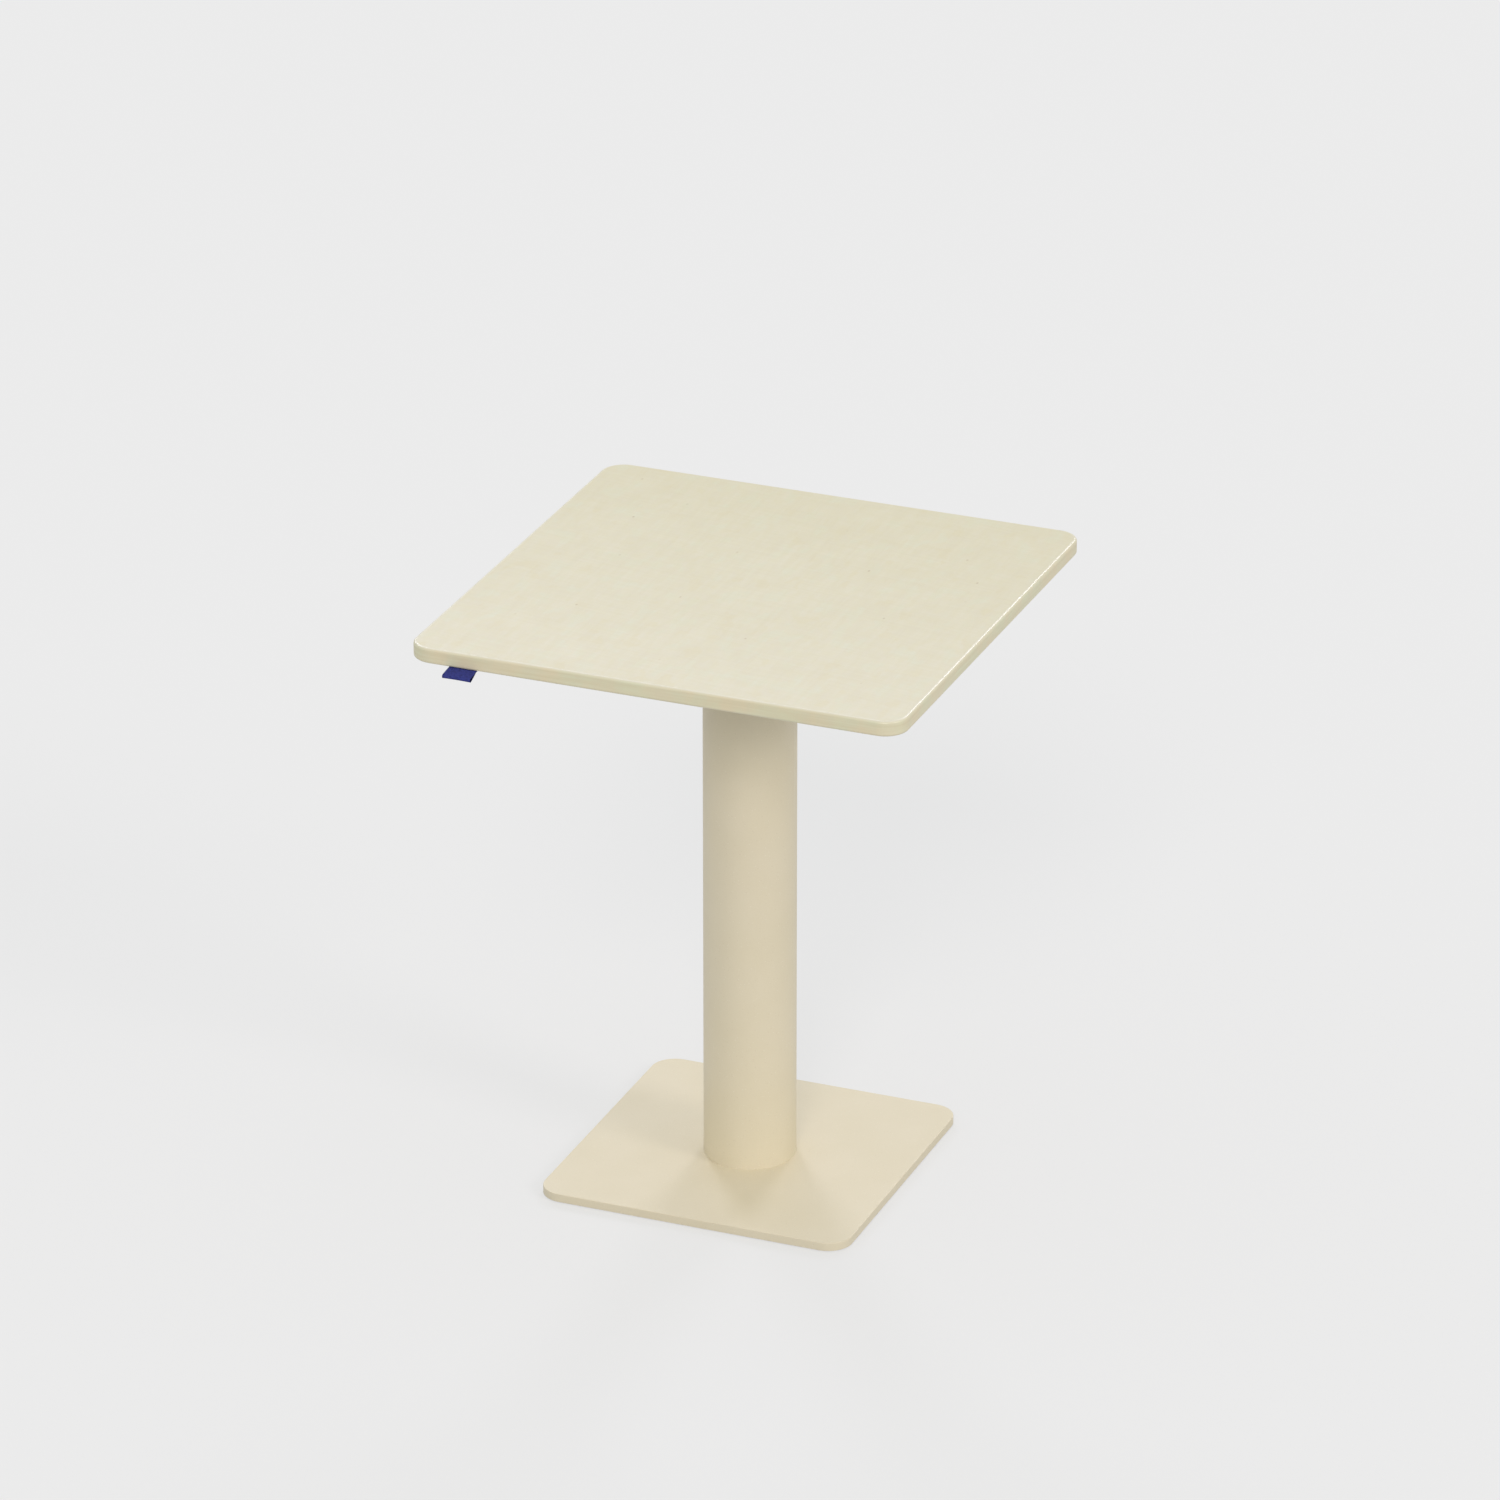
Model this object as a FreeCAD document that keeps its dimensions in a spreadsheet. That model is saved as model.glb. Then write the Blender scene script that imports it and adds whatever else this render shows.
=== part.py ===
import FreeCAD, Part
import Sketcher

import os
from types import SimpleNamespace

# Telescoping pedestal table: a square laminated top on a round two-stage steel column over a square base plate.
#
# The outer tube is welded to a disc that is screwed to the base plate. The inner tube slides in it on two
# plastic guide bushes, and a rail inside the outer tube stops it from turning. A lockable gas spring stands
# between the foot disc and a bridge near the head of the inner tube. A lever under the top presses the pin
# that runs down through the spring's hollow rod to its valve, and the top can then be raised or lowered.
#
# The model stands at its lowest height. +Z is up, the origin is on the floor at the column's axis, and the
# user sits on the -Y side. Lengths are in millimetres.

SIZES = (
    # tabletop
    ("top_side", 600),
    ("top_thickness", 18.5),
    ("top_corner_radius", 28),
    ("laminate_thickness", 0.8),
    ("edge_band_width", 4),
    ("edge_band_rounding", 3),
    # heights
    ("table_height", 733),
    ("column_gap", 53.5),
    ("bridge_depth", 56.5),
    # base plate and its glides
    ("base_side", 388),
    ("base_thickness", 10),
    ("base_corner_radius", 30),
    ("base_edge_rounding", 0.8),
    ("glide_diameter", 32),
    ("glide_standoff", 1),
    ("glide_pocket_depth", 2),
    ("glide_inset", 34),
    ("glide_chamfer", 0.6),
    # foot of the column
    ("foot_disc_thickness", 12),
    ("foot_screw_edge", 15.2),
    ("foot_screw_diameter", 8),
    ("foot_screw_head_diameter", 16),
    ("foot_screw_tip_gap", 2),
    ("foot_screw_play", 0.5),
    ("foot_screw_socket", 5),
    ("foot_screw_socket_depth", 3.4),
    ("nut_well_diameter", 30),
    # column tubes and guides
    ("column_diameter", 110),
    ("column_wall", 3),
    ("inner_wall", 2.5),
    ("bush_wall", 3),
    ("guide_play", 0.1),
    ("guide_land", 14),
    ("guide_relief", 0.5),
    ("guide_span", 225),
    ("upper_bush_length", 60),
    ("bush_flange_thickness", 5),
    ("bush_flange_chamfer", 1.2),
    ("lower_bush_length", 54),
    ("lower_bush_lip", 4),
    ("lower_bush_lip_width", 4.5),
    ("bush_pin_diameter", 4),
    ("bush_pin_recess", 0.3),
    ("rail_width", 12),
    ("rail_gap", 0.6),
    ("rail_weld_gap", 0.15),
    ("rail_end_gap", 6),
    ("rail_play", 0.3),
    ("notch_bite", 1),
    ("bump_stop_height", 8),
    ("bump_stop_width", 9),
    ("bump_stop_play", 0.6),
    # head of the inner tube
    ("mounting_plate_side", 260),
    ("mounting_plate_thickness", 5),
    ("mounting_plate_corner_radius", 20),
    ("mounting_plate_chamfer", 0.6),
    ("access_hole_diameter", 60),
    ("mounting_screw_inset", 20),
    ("mounting_screw_diameter", 6),
    ("mounting_screw_head_diameter", 10.5),
    ("mounting_screw_head_height", 3.3),
    ("mounting_screw_tip_gap", 1),
    ("mounting_screw_play", 0.5),
    ("mounting_screw_socket", 4),
    ("mounting_screw_socket_depth", 2),
    ("insert_wall", 1.5),
    ("insert_length", 12),
    ("insert_groove", 0.5),
    ("bridge_thickness", 8),
    ("bridge_vent_diameter", 12),
    ("bridge_vent_edge", 14.5),
    # gas spring
    ("spring_diameter", 28),
    ("spring_wall", 2),
    ("spring_lip_thickness", 1.5),
    ("spring_lip_gap", 3),
    ("end_plug_length", 15),
    ("stud_diameter", 10),
    ("stud_proud", 0.5),
    ("stud_play", 0.25),
    ("hex_nut_width", 16),
    ("foot_nut_height", 5),
    ("rod_nut_height", 8),
    ("washer_diameter", 20),
    ("washer_thickness", 2),
    ("valve_chamber", 10),
    ("piston_length", 15),
    ("piston_play", 0.1),
    ("piston_seal_width", 3),
    ("piston_seal_depth", 1.5),
    ("piston_seal_play", 0.05),
    ("stroke_reserve", 8),
    ("rod_diameter", 10),
    ("rod_play", 0.05),
    ("rod_shoulder", 1),
    ("rod_guide_length", 14),
    ("rod_seal_length", 6),
    ("release_pin_diameter", 4),
    ("release_pin_play", 0.2),
    ("release_pin_reach", 4),
    ("valve_head_diameter", 9),
    ("valve_head_thickness", 4),
    # release head and lever
    ("head_crown", 10),
    ("head_width", 26),
    ("head_tail", 14),
    ("head_nose", 12),
    ("head_floor", 15),
    ("head_corner_radius", 3),
    ("lever_thickness", 8),
    ("lever_side_play", 0.3),
    ("lever_short_arm", 18),
    ("pivot_above_pin", 9),
    ("pivot_diameter", 6),
    ("pivot_play", 0.05),
    ("pivot_head_diameter", 9),
    ("pivot_head_thickness", 2),
    ("clip_diameter", 11),
    ("clip_thickness", 0.8),
    ("clip_groove_depth", 0.6),
    ("clip_play", 0.1),
    ("pivot_tail", 2),
    ("nose_radius", 4),
    ("nose_play", 0.1),
    ("hub_radius", 8.5),
    ("lever_height", 10),
    ("lever_straight_outside", 17),
    ("lever_slope", 44),
    ("lever_drop", 15),
    ("lever_reach", 208),
    ("lever_bend_radius", 14),
    ("slot_play", 2),
    ("slot_floor_play", 0.3),
    ("slot_rise", 5),
    ("grip_length", 67),
    ("grip_overhang", 9),
    ("grip_neck_width", 18),
    ("grip_width", 54),
    ("grip_shoulder", 24),
    ("grip_wall", 2.5),
    ("grip_corner_radius", 14),
    ("grip_rounding", 4),
    ("grip_scoop_radius", 34),
    ("grip_scoop_skin", 1),
    # woven tag under the front edge
    ("tag_width", 34),
    ("tag_inset", 70),
    ("tag_ribbon", 0.6),
    ("tag_tail", 15),
    ("tag_reach", 18.6),
    ("tag_droop", 1.8),
    ("tag_fold_radius", 2.4),
    ("staple_width", 10),
    ("staple_edge", 3.5),
    ("staple_wire", 0.7),
    ("staple_bite", 6),
)

DIAGONAL = 0.70710678  # the share of a radius along X and along Y on the diagonal between them
HEX_CORNER = 1.1547005  # a hexagon's width across its corners over its width across its flats
HEX = ((1, 0), (0.5, 0.8660254), (-0.5, 0.8660254), (-1, 0), (-0.5, -0.8660254), (0.5, -0.8660254))
PARALLEL = 1e-6

doc = FreeCAD.newDocument("PedestalTable")


class Size:
    """A length that carries its number and the expression over the sheet's cells that gives it."""

    def __init__(self, value, text):
        self.value = float(value)
        self.text = text

    def __add__(self, other):
        return combine(self, "+", other, self.value + number(other))

    def __sub__(self, other):
        return combine(self, "-", other, self.value - number(other))

    def __mul__(self, factor):
        return combine(self, "*", factor, self.value * factor)

    def __truediv__(self, divisor):
        return combine(self, "/", divisor, self.value / divisor)

    def __neg__(self):
        return self * -1


def number(size):
    """The number in millimetres of a Size or a plain number."""
    return size.value if isinstance(size, Size) else float(size)


def text(size):
    """The expression of a Size or a plain number."""
    return size.text if isinstance(size, Size) else repr(size)


def combine(left, sign, right, value):
    """The Size that left and right make."""
    return Size(value, f"({text(left)} {sign} {text(right)})")


def smaller(size, limit):
    """A rounding, held to what its wall allows."""
    return Size(min(size.value, limit.value), f"min({size.text}; {limit.text})")


def fill_sheet():
    """The spreadsheet of driving dimensions, and each of them as a Size with its cell's name."""
    sheet = doc.addObject("Spreadsheet::Sheet", "Sizes")
    found = {}
    for row, (alias, value) in enumerate(SIZES, start=1):
        sheet.set(f"A{row}", alias)
        sheet.set(f"B{row}", str(value))
        sheet.setAlias(f"B{row}", alias)
        found[alias] = Size(value, f"Sizes.{alias}")
    doc.recompute()
    return SimpleNamespace(**found)


S = fill_sheet()

# Levels above the floor, at the lowest height.
PLATE_BOTTOM = S.glide_standoff
PLATE_TOP = PLATE_BOTTOM + S.base_thickness
DISC_TOP = PLATE_TOP + S.foot_disc_thickness
BUMP_TOP = DISC_TOP + S.bump_stop_height
INNER_BOTTOM = BUMP_TOP + S.lower_bush_lip
TOP_BOTTOM = S.table_height - S.top_thickness
MOUNT_BOTTOM = TOP_BOTTOM - S.mounting_plate_thickness
FLANGE_TOP = MOUNT_BOTTOM - S.column_gap
OUTER_TOP = FLANGE_TOP - S.bush_flange_thickness
BRIDGE_TOP = MOUNT_BOTTOM - S.bridge_depth
BRIDGE_BOTTOM = BRIDGE_TOP - S.bridge_thickness
ROD_TOP = BRIDGE_TOP + S.head_floor
PIN_TIP = ROD_TOP + S.release_pin_reach
PIVOT_HEIGHT = PIN_TIP + S.pivot_above_pin

# The lift may rise until the two guide bushes, over all, are guide_span long.
LIFT_TRAVEL = FLANGE_TOP - BUMP_TOP - S.guide_span

# Levels in the gas spring, which has its stroke and a reserve above the piston.
PISTON_BOTTOM = DISC_TOP + S.end_plug_length + S.valve_chamber
PISTON_TOP = PISTON_BOTTOM + S.piston_length
ROD_GUIDE_BOTTOM = PISTON_TOP + LIFT_TRAVEL + S.stroke_reserve
ROD_SEAL_BOTTOM = ROD_GUIDE_BOTTOM + S.rod_guide_length
SPRING_LIP_BOTTOM = ROD_SEAL_BOTTOM + S.rod_seal_length
SPRING_TOP = SPRING_LIP_BOTTOM + S.spring_lip_thickness

# Radii and half widths that more than one piece takes.
COLUMN_RADIUS = S.column_diameter / 2
OUTER_BORE = COLUMN_RADIUS - S.column_wall
INNER_RADIUS = OUTER_BORE - S.bush_wall
INNER_BORE = INNER_RADIUS - S.inner_wall
RAIL_RADIUS = INNER_RADIUS + S.rail_gap
SPRING_BORE = S.spring_diameter / 2 - S.spring_wall
ROD_RADIUS = S.rod_diameter / 2
ROD_SPIGOT_RADIUS = ROD_RADIUS - S.rod_shoulder
PIN_RADIUS = S.release_pin_diameter / 2
GLIDE_PLACE = S.base_side / 2 - S.glide_inset
FOOT_SCREW_PLACE = (OUTER_BORE - S.foot_screw_edge) * DIAGONAL
MOUNTING_SCREW_PLACE = S.mounting_plate_side / 2 - S.mounting_screw_inset
INSERT_RADIUS = S.mounting_screw_diameter / 2 + S.insert_wall
BUSH_PIN_HEIGHT = S.lower_bush_length / 2
CORE_SIDE = S.top_side - S.edge_band_width * 2
CORE_CORNER_RADIUS = S.top_corner_radius - S.edge_band_width
CORE_THICKNESS = S.top_thickness - S.laminate_thickness * 2
LEVER_STRAIGHT = INNER_RADIUS + S.lever_straight_outside - S.lever_short_arm
GRIP_THICKNESS = S.lever_height + S.grip_wall * 2
TAG_MIDDLE = S.tag_inset - S.top_side / 2
TAG_TAIL_THICKNESS = S.tag_ribbon * 2
STAPLE_LINE = S.tag_tail / 2 - S.top_side / 2

# ---------------------------------------------------------------- features


def bind(thing, place, size):
    """Sets a property from a Size and ties it to the sheet."""
    thing.setExpression(place, text(size))


def new_body(label, z=0, x=0):
    """An empty body of that label, whose own floor is z above the floor and x along the X axis."""
    body = doc.addObject("PartDesign::Body", label)
    body.Label = label
    body.AllowCompound = True
    if isinstance(z, Size):
        bind(body, "Placement.Base.z", z)
    if isinstance(x, Size):
        bind(body, "Placement.Base.x", x)
    return body


def origin(body, role):
    """The body's own origin plane or axis of that role."""
    return next(o for o in body.Origin.OriginFeatures if o.Role == role)


def new_sketch(body, name, plane="XY_Plane", offset=0):
    """An empty sketch on one of the body's origin planes, moved along the plane's normal by offset."""
    sketch = body.newObject("Sketcher::SketchObject", f"{body.Label}_{name}")
    sketch.AttachmentSupport = [(origin(body, plane), "")]
    sketch.MapMode = "FlatFace"
    if isinstance(offset, Size):
        bind(sketch, "AttachmentOffset.Base.z", offset)
    return sketch


def vector(x, y):
    """A point of a sketch."""
    return FreeCAD.Vector(number(x), number(y), 0)


def hold(sketch, kind, *where, size):
    """A driving constraint of a sketch, tied to the sheet."""
    index = sketch.addConstraint(Sketcher.Constraint(kind, *where, number(size)))
    if isinstance(size, Size):
        bind(sketch, f"Constraints[{index}]", size)


def hold_point(sketch, geometry, end, x, y):
    """Holds one end of a sketch element at x, y from the sketch's origin."""
    for kind, size, axis in (("DistanceX", x, -2), ("DistanceY", y, -1)):
        if number(size) == 0:
            sketch.addConstraint(Sketcher.Constraint("PointOnObject", geometry, end, axis))
        else:
            hold(sketch, kind, -1, 1, geometry, end, size=size)


def outline(sketch, points):
    """A closed outline of straight lines through points."""
    first = sketch.GeometryCount
    for here, there in zip(points, points[1:] + points[:1]):
        sketch.addGeometry(Part.LineSegment(vector(*here), vector(*there)))
    for i, (x, y) in enumerate(points):
        before = first + (i - 1) % len(points)
        sketch.addConstraint(Sketcher.Constraint("Coincident", before, 2, first + i, 1))
        hold_point(sketch, first + i, 1, x, y)


def circle(sketch, radius, x=0, y=0):
    """A circle at x, y."""
    index = sketch.addGeometry(Part.Circle(vector(x, y), FreeCAD.Vector(0, 0, 1), number(radius)))
    hold_point(sketch, index, 3, x, y)
    hold(sketch, "Radius", index, size=radius)


def square(sketch, side):
    """A square about the sketch's origin."""
    half = side / 2
    outline(sketch, [(-half, -half), (half, -half), (half, half), (-half, half)])


def rectangle(sketch, left, right, low, high):
    """A rectangle between two pairs of limits."""
    outline(sketch, [(left, low), (right, low), (right, high), (left, high)])


def hexagon(sketch, width, x=0, y=0):
    """A hexagon of that width across flats, about x, y."""
    corner = width * (HEX_CORNER / 2)
    outline(sketch, [(corner * across + x, corner * along + y) for across, along in HEX])


def finish_feature(body, feature):
    """Recomputes a new feature and makes it the body's last."""
    body.Tip = feature
    doc.recompute()
    return feature


def pad(sketch, length, symmetric=False):
    """Extrudes a sketch along its normal, or both ways by half."""
    body = sketch.getParentGeoFeatureGroup()
    feature = body.newObject("PartDesign::Pad", f"{sketch.Name}_pad")
    feature.Profile = sketch
    if symmetric:
        feature.SideType = "Symmetric"
    bind(feature, "Length", length)
    return finish_feature(body, feature)


def cut(sketch, depth, symmetric=False):
    """Cuts a sketch's area out of its body, along the sketch's normal or both ways by half."""
    body = sketch.getParentGeoFeatureGroup()
    before = body.Shape.Volume
    feature = body.newObject("PartDesign::Pocket", f"{sketch.Name}_cut")
    feature.Profile = sketch
    feature.Reversed = True
    if symmetric:
        feature.SideType = "Symmetric"
    bind(feature, "Length", depth)
    finish_feature(body, feature)
    if body.Shape.Volume >= before:
        raise RuntimeError(f"{feature.Name} cuts nothing")
    return feature


def turned(kind, body, name, points, x=0, along="Z"):
    """Turns a profile of (radius, height) points about an axis along Z through x, x of the body.

    With along set to Y the points are (radius, distance along Y) and the axis is the body's Y axis."""
    if along == "Y":
        sketch = new_sketch(body, name, "XY_Plane")
    elif isinstance(x, Size):
        sketch = new_sketch(body, name, "XZ_Plane", -x)
    else:
        sketch = new_sketch(body, name, "XZ_Plane")
    outline(sketch, [(x + radius if isinstance(x, Size) else radius, height) for radius, height in points])
    axis = "V_Axis"
    if isinstance(x, Size):
        foot = vector(x, 0)
        line = sketch.addGeometry(Part.LineSegment(foot, foot + FreeCAD.Vector(0, 1, 0)), True)
        hold_point(sketch, line, 1, x, 0)
        hold_point(sketch, line, 2, x, 1)
        axis = "Axis0"
    feature = body.newObject(f"PartDesign::{kind}", f"{sketch.Name}_turned")
    feature.Profile = sketch
    feature.ReferenceAxis = (sketch, [axis])
    feature.Angle = 360
    return finish_feature(body, feature)


def repeat(body, features, count):
    """Repeats features evenly about the body's Z axis."""
    pattern = body.newObject("PartDesign::PolarPattern", f"{body.Label}_around")
    pattern.Originals = features
    pattern.Axis = (origin(body, "Z_Axis"), [""])
    pattern.Angle = 360
    pattern.Occurrences = count
    return finish_feature(body, pattern)


def dress(kind, body, test, size):
    """Rounds or chamfers the edges of the body that pass a test."""
    last = body.Tip
    names = [f"Edge{i}" for i, edge in enumerate(last.Shape.Edges, start=1) if test(edge)]
    if not names:
        raise RuntimeError(f"no edge of {body.Label} passes the test")
    feature = body.newObject(f"PartDesign::{kind}", f"{body.Label}_{kind.lower()}")
    feature.Base = (last, names)
    bind(feature, "Radius" if kind == "Fillet" else "Size", size)
    return finish_feature(body, feature)


def runs_along(axis, edge):
    """Whether an edge is a straight line along X, Y or Z."""
    if not isinstance(edge.Curve, Part.Line):
        return False
    return abs(abs(edge.Curve.Direction.dot(axis)) - 1) < PARALLEL


def upright(edge):
    """Whether an edge is a straight line along Z."""
    return runs_along(FreeCAD.Vector(0, 0, 1), edge)


def at_height(edge, height):
    """Whether an edge lies wholly at that height of its body."""
    box = edge.BoundBox
    return abs(box.ZMin - number(height)) < 1e-4 and abs(box.ZMax - number(height)) < 1e-4


def combined(kind, label, base, tool, z):
    """What a Part boolean makes of two bodies, z above the floor."""
    result = doc.addObject(f"Part::{kind}", label)
    result.Label = label
    result.Base = base
    result.Tool = tool
    bind(result, "Placement.Base.z", z)
    doc.recompute()
    return result


def rounded_slab(label, side, corner_radius, thickness, z=0):
    """A square slab with round corners."""
    body = new_body(label, z)
    outer = new_sketch(body, "outline")
    square(outer, side)
    pad(outer, thickness)
    dress("Fillet", body, upright, corner_radius)
    return body


# ---------------------------------------------------------------- base


def make_base_plate():
    """The steel foot, with pockets for the glides, a well for the spring's nut and countersunk screw holes."""
    body = rounded_slab("base_plate", S.base_side, S.base_corner_radius, S.base_thickness, PLATE_BOTTOM)
    dress("Fillet", body, lambda e: at_height(e, S.base_thickness), S.base_edge_rounding)
    well = new_sketch(body, "nut_well")
    circle(well, S.nut_well_diameter / 2)
    cut(well, S.base_thickness)
    pocket = new_sketch(body, "glide_pocket")
    circle(pocket, S.glide_diameter / 2, GLIDE_PLACE, GLIDE_PLACE)
    pockets = [cut(pocket, S.glide_pocket_depth)]
    hole = S.foot_screw_diameter / 2 + S.foot_screw_play
    head = S.foot_screw_head_diameter / 2
    profile = [(0, 0), (head, 0), (hole, head - hole), (hole, S.base_thickness), (0, S.base_thickness)]
    pockets.append(turned("Groove", body, "screw_hole", profile, FOOT_SCREW_PLACE))
    repeat(body, pockets, 4)
    return body


def make_base_glides():
    """Four plastic discs that the base plate stands on."""
    body = new_body("base_glides")
    radius = S.glide_diameter / 2
    thickness = S.glide_standoff + S.glide_pocket_depth
    profile = [
        (0, 0),
        (radius - S.glide_chamfer, 0),
        (radius, S.glide_chamfer),
        (radius, thickness),
        (0, thickness),
    ]
    disc = turned("Revolution", body, "disc", profile, GLIDE_PLACE)
    repeat(body, [disc], 4)
    return body


def make_base_screws():
    """Four countersunk screws that hold the foot disc to the base plate from below."""
    body = new_body("base_screws", PLATE_BOTTOM)
    head = S.foot_screw_head_diameter / 2
    shank = S.foot_screw_diameter / 2
    end = S.base_thickness + S.foot_disc_thickness - S.foot_screw_tip_gap
    tip = shank * 0.2
    profile = [(0, 0), (head, 0), (shank, head - shank), (shank, end - tip), (shank - tip, end), (0, end)]
    screw = turned("Revolution", body, "screw", profile, FOOT_SCREW_PLACE)
    socket = new_sketch(body, "socket")
    hexagon(socket, S.foot_screw_socket, FOOT_SCREW_PLACE, FOOT_SCREW_PLACE)
    repeat(body, [screw, cut(socket, S.foot_screw_socket_depth)], 4)
    return body


def make_foot_disc():
    """The disc welded into the foot of the outer tube, with tapped holes and the gas spring's seat."""
    body = new_body("foot_disc", PLATE_TOP)
    plan = new_sketch(body, "plan")
    circle(plan, OUTER_BORE)
    circle(plan, S.stud_diameter / 2 + S.stud_play)
    pad(plan, S.foot_disc_thickness)
    hole = new_sketch(body, "tapped_hole")
    circle(hole, S.foot_screw_diameter / 2, FOOT_SCREW_PLACE, FOOT_SCREW_PLACE)
    repeat(body, [cut(hole, S.foot_disc_thickness)], 4)
    return body


# ---------------------------------------------------------------- column


def make_outer_tube():
    """The fixed outer tube of the column."""
    body = new_body("outer_tube", PLATE_TOP)
    plan = new_sketch(body, "plan")
    circle(plan, COLUMN_RADIUS)
    circle(plan, OUTER_BORE)
    pad(plan, OUTER_TOP - PLATE_TOP)
    return body


def make_guide_rail():
    """A strip welded inside the back of the outer tube, which keeps the inner tube from turning."""
    ring = new_body("guide_rail_ring")
    plan = new_sketch(ring, "plan")
    circle(plan, OUTER_BORE - S.rail_weld_gap)
    circle(plan, RAIL_RADIUS)
    height = OUTER_TOP - S.upper_bush_length - S.rail_end_gap - DISC_TOP
    pad(plan, height)
    bar = new_body("guide_rail_bar")
    plan = new_sketch(bar, "plan")
    rectangle(plan, S.rail_width / -2, S.rail_width / 2, 0, OUTER_BORE)
    pad(plan, height)
    return combined("Common", "guide_rail", ring, bar, DISC_TOP)


def make_upper_guide_bush():
    """The flanged bush in the mouth of the outer tube. Two lands inside it guide the inner tube."""
    length = S.upper_bush_length
    body = new_body("upper_guide_bush", OUTER_TOP - length)
    land = INNER_RADIUS + S.guide_play
    relief = land + S.guide_relief
    end = length + S.bush_flange_thickness
    profile = [
        (land, 0),
        (OUTER_BORE, 0),
        (OUTER_BORE, length),
        (COLUMN_RADIUS, length),
        (COLUMN_RADIUS, end - S.bush_flange_chamfer),
        (COLUMN_RADIUS - S.bush_flange_chamfer, end),
        (land, end),
        (land, end - S.guide_land),
        (relief, end - S.guide_land - S.guide_relief),
        (relief, S.guide_land + S.guide_relief),
        (land, S.guide_land),
    ]
    turned("Revolution", body, "profile", profile)
    return body


def make_lower_guide_bush():
    """The bush on the foot of the inner tube, with two lands outside and a notch that rides on the rail."""
    body = new_body("lower_guide_bush", BUMP_TOP)
    length = S.lower_bush_length
    land = OUTER_BORE - S.guide_play
    relief = land - S.guide_relief
    lip = INNER_RADIUS - S.lower_bush_lip_width
    profile = [
        (lip, 0),
        (land, 0),
        (land, S.guide_land),
        (relief, S.guide_land + S.guide_relief),
        (relief, length - S.guide_land - S.guide_relief),
        (land, length - S.guide_land),
        (land, length),
        (INNER_RADIUS, length),
        (INNER_RADIUS, S.lower_bush_lip),
        (lip, S.lower_bush_lip),
    ]
    turned("Revolution", body, "profile", profile)
    notch = new_sketch(body, "rail_notch")
    half = S.rail_width / 2 + S.rail_play
    rectangle(notch, -half, half, INNER_RADIUS - S.notch_bite, COLUMN_RADIUS)
    cut(notch, length)
    pin_holes(body, BUSH_PIN_HEIGHT)
    return body


def pin_holes(body, height):
    """Three radial holes for the pins that hold the lower bush on the inner tube. The first faces the user."""
    hole = new_sketch(body, "pin_hole", "XZ_Plane")
    circle(hole, S.bush_pin_diameter / 2, 0, height)
    repeat(body, [cut(hole, COLUMN_RADIUS)], 3)


def make_lower_bush_pins():
    """Three radial pins through the lower bush and the inner tube."""
    body = new_body("lower_bush_pins", BUMP_TOP)
    section = new_sketch(body, "section", "XZ_Plane", INNER_BORE)
    circle(section, S.bush_pin_diameter / 2, 0, BUSH_PIN_HEIGHT)
    end = OUTER_BORE - S.guide_play - S.guide_relief - S.bush_pin_recess
    repeat(body, [pad(section, end - INNER_BORE)], 3)
    return body


def make_bump_stop():
    """The rubber ring on the foot disc that the lower bush lands on at the lowest height."""
    body = new_body("bump_stop", DISC_TOP)
    plan = new_sketch(body, "plan")
    outside = RAIL_RADIUS - S.bump_stop_play
    circle(plan, outside)
    circle(plan, outside - S.bump_stop_width)
    pad(plan, S.bump_stop_height)
    return body


def make_inner_tube():
    """The sliding inner tube, with a window for the lever on the +X side and the lower bush's pin holes."""
    body = new_body("inner_tube", INNER_BOTTOM)
    plan = new_sketch(body, "plan")
    circle(plan, INNER_RADIUS)
    circle(plan, INNER_BORE)
    pad(plan, MOUNT_BOTTOM - INNER_BOTTOM)
    pin_holes(body, BUSH_PIN_HEIGHT - S.lower_bush_lip)
    window = new_sketch(body, "lever_window", "YZ_Plane")
    half = S.lever_thickness / 2 + S.slot_play
    low = PIVOT_HEIGHT - S.lever_height / 2 - S.slot_floor_play - INNER_BOTTOM
    rectangle(window, -half, half, low, PIVOT_HEIGHT + S.lever_height / 2 + S.slot_rise - INNER_BOTTOM)
    cut(window, COLUMN_RADIUS)
    return body


# ---------------------------------------------------------------- head of the column and tabletop


def make_spring_bridge():
    """The disc welded across the inner tube that the gas spring's rod pushes on, with two air vents."""
    body = new_body("spring_bridge", BRIDGE_BOTTOM)
    plan = new_sketch(body, "plan")
    circle(plan, INNER_BORE)
    circle(plan, ROD_RADIUS)
    pad(plan, S.bridge_thickness)
    vent = new_sketch(body, "vent")
    circle(vent, S.bridge_vent_diameter / 2, 0, INNER_BORE - S.bridge_vent_edge)
    repeat(body, [cut(vent, S.bridge_thickness)], 2)
    return body


def make_mounting_plate():
    """The steel plate welded on the inner tube and screwed to the tabletop."""
    body = rounded_slab(
        "mounting_plate",
        S.mounting_plate_side,
        S.mounting_plate_corner_radius,
        S.mounting_plate_thickness,
        MOUNT_BOTTOM,
    )
    dress("Chamfer", body, lambda e: at_height(e, 0), S.mounting_plate_chamfer)
    access = new_sketch(body, "access_hole")
    circle(access, S.access_hole_diameter / 2)
    cut(access, S.mounting_plate_thickness)
    hole = new_sketch(body, "screw_hole")
    radius = S.mounting_screw_diameter / 2 + S.mounting_screw_play
    circle(hole, radius, MOUNTING_SCREW_PLACE, MOUNTING_SCREW_PLACE)
    repeat(body, [cut(hole, S.mounting_plate_thickness)], 4)
    return body


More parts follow.
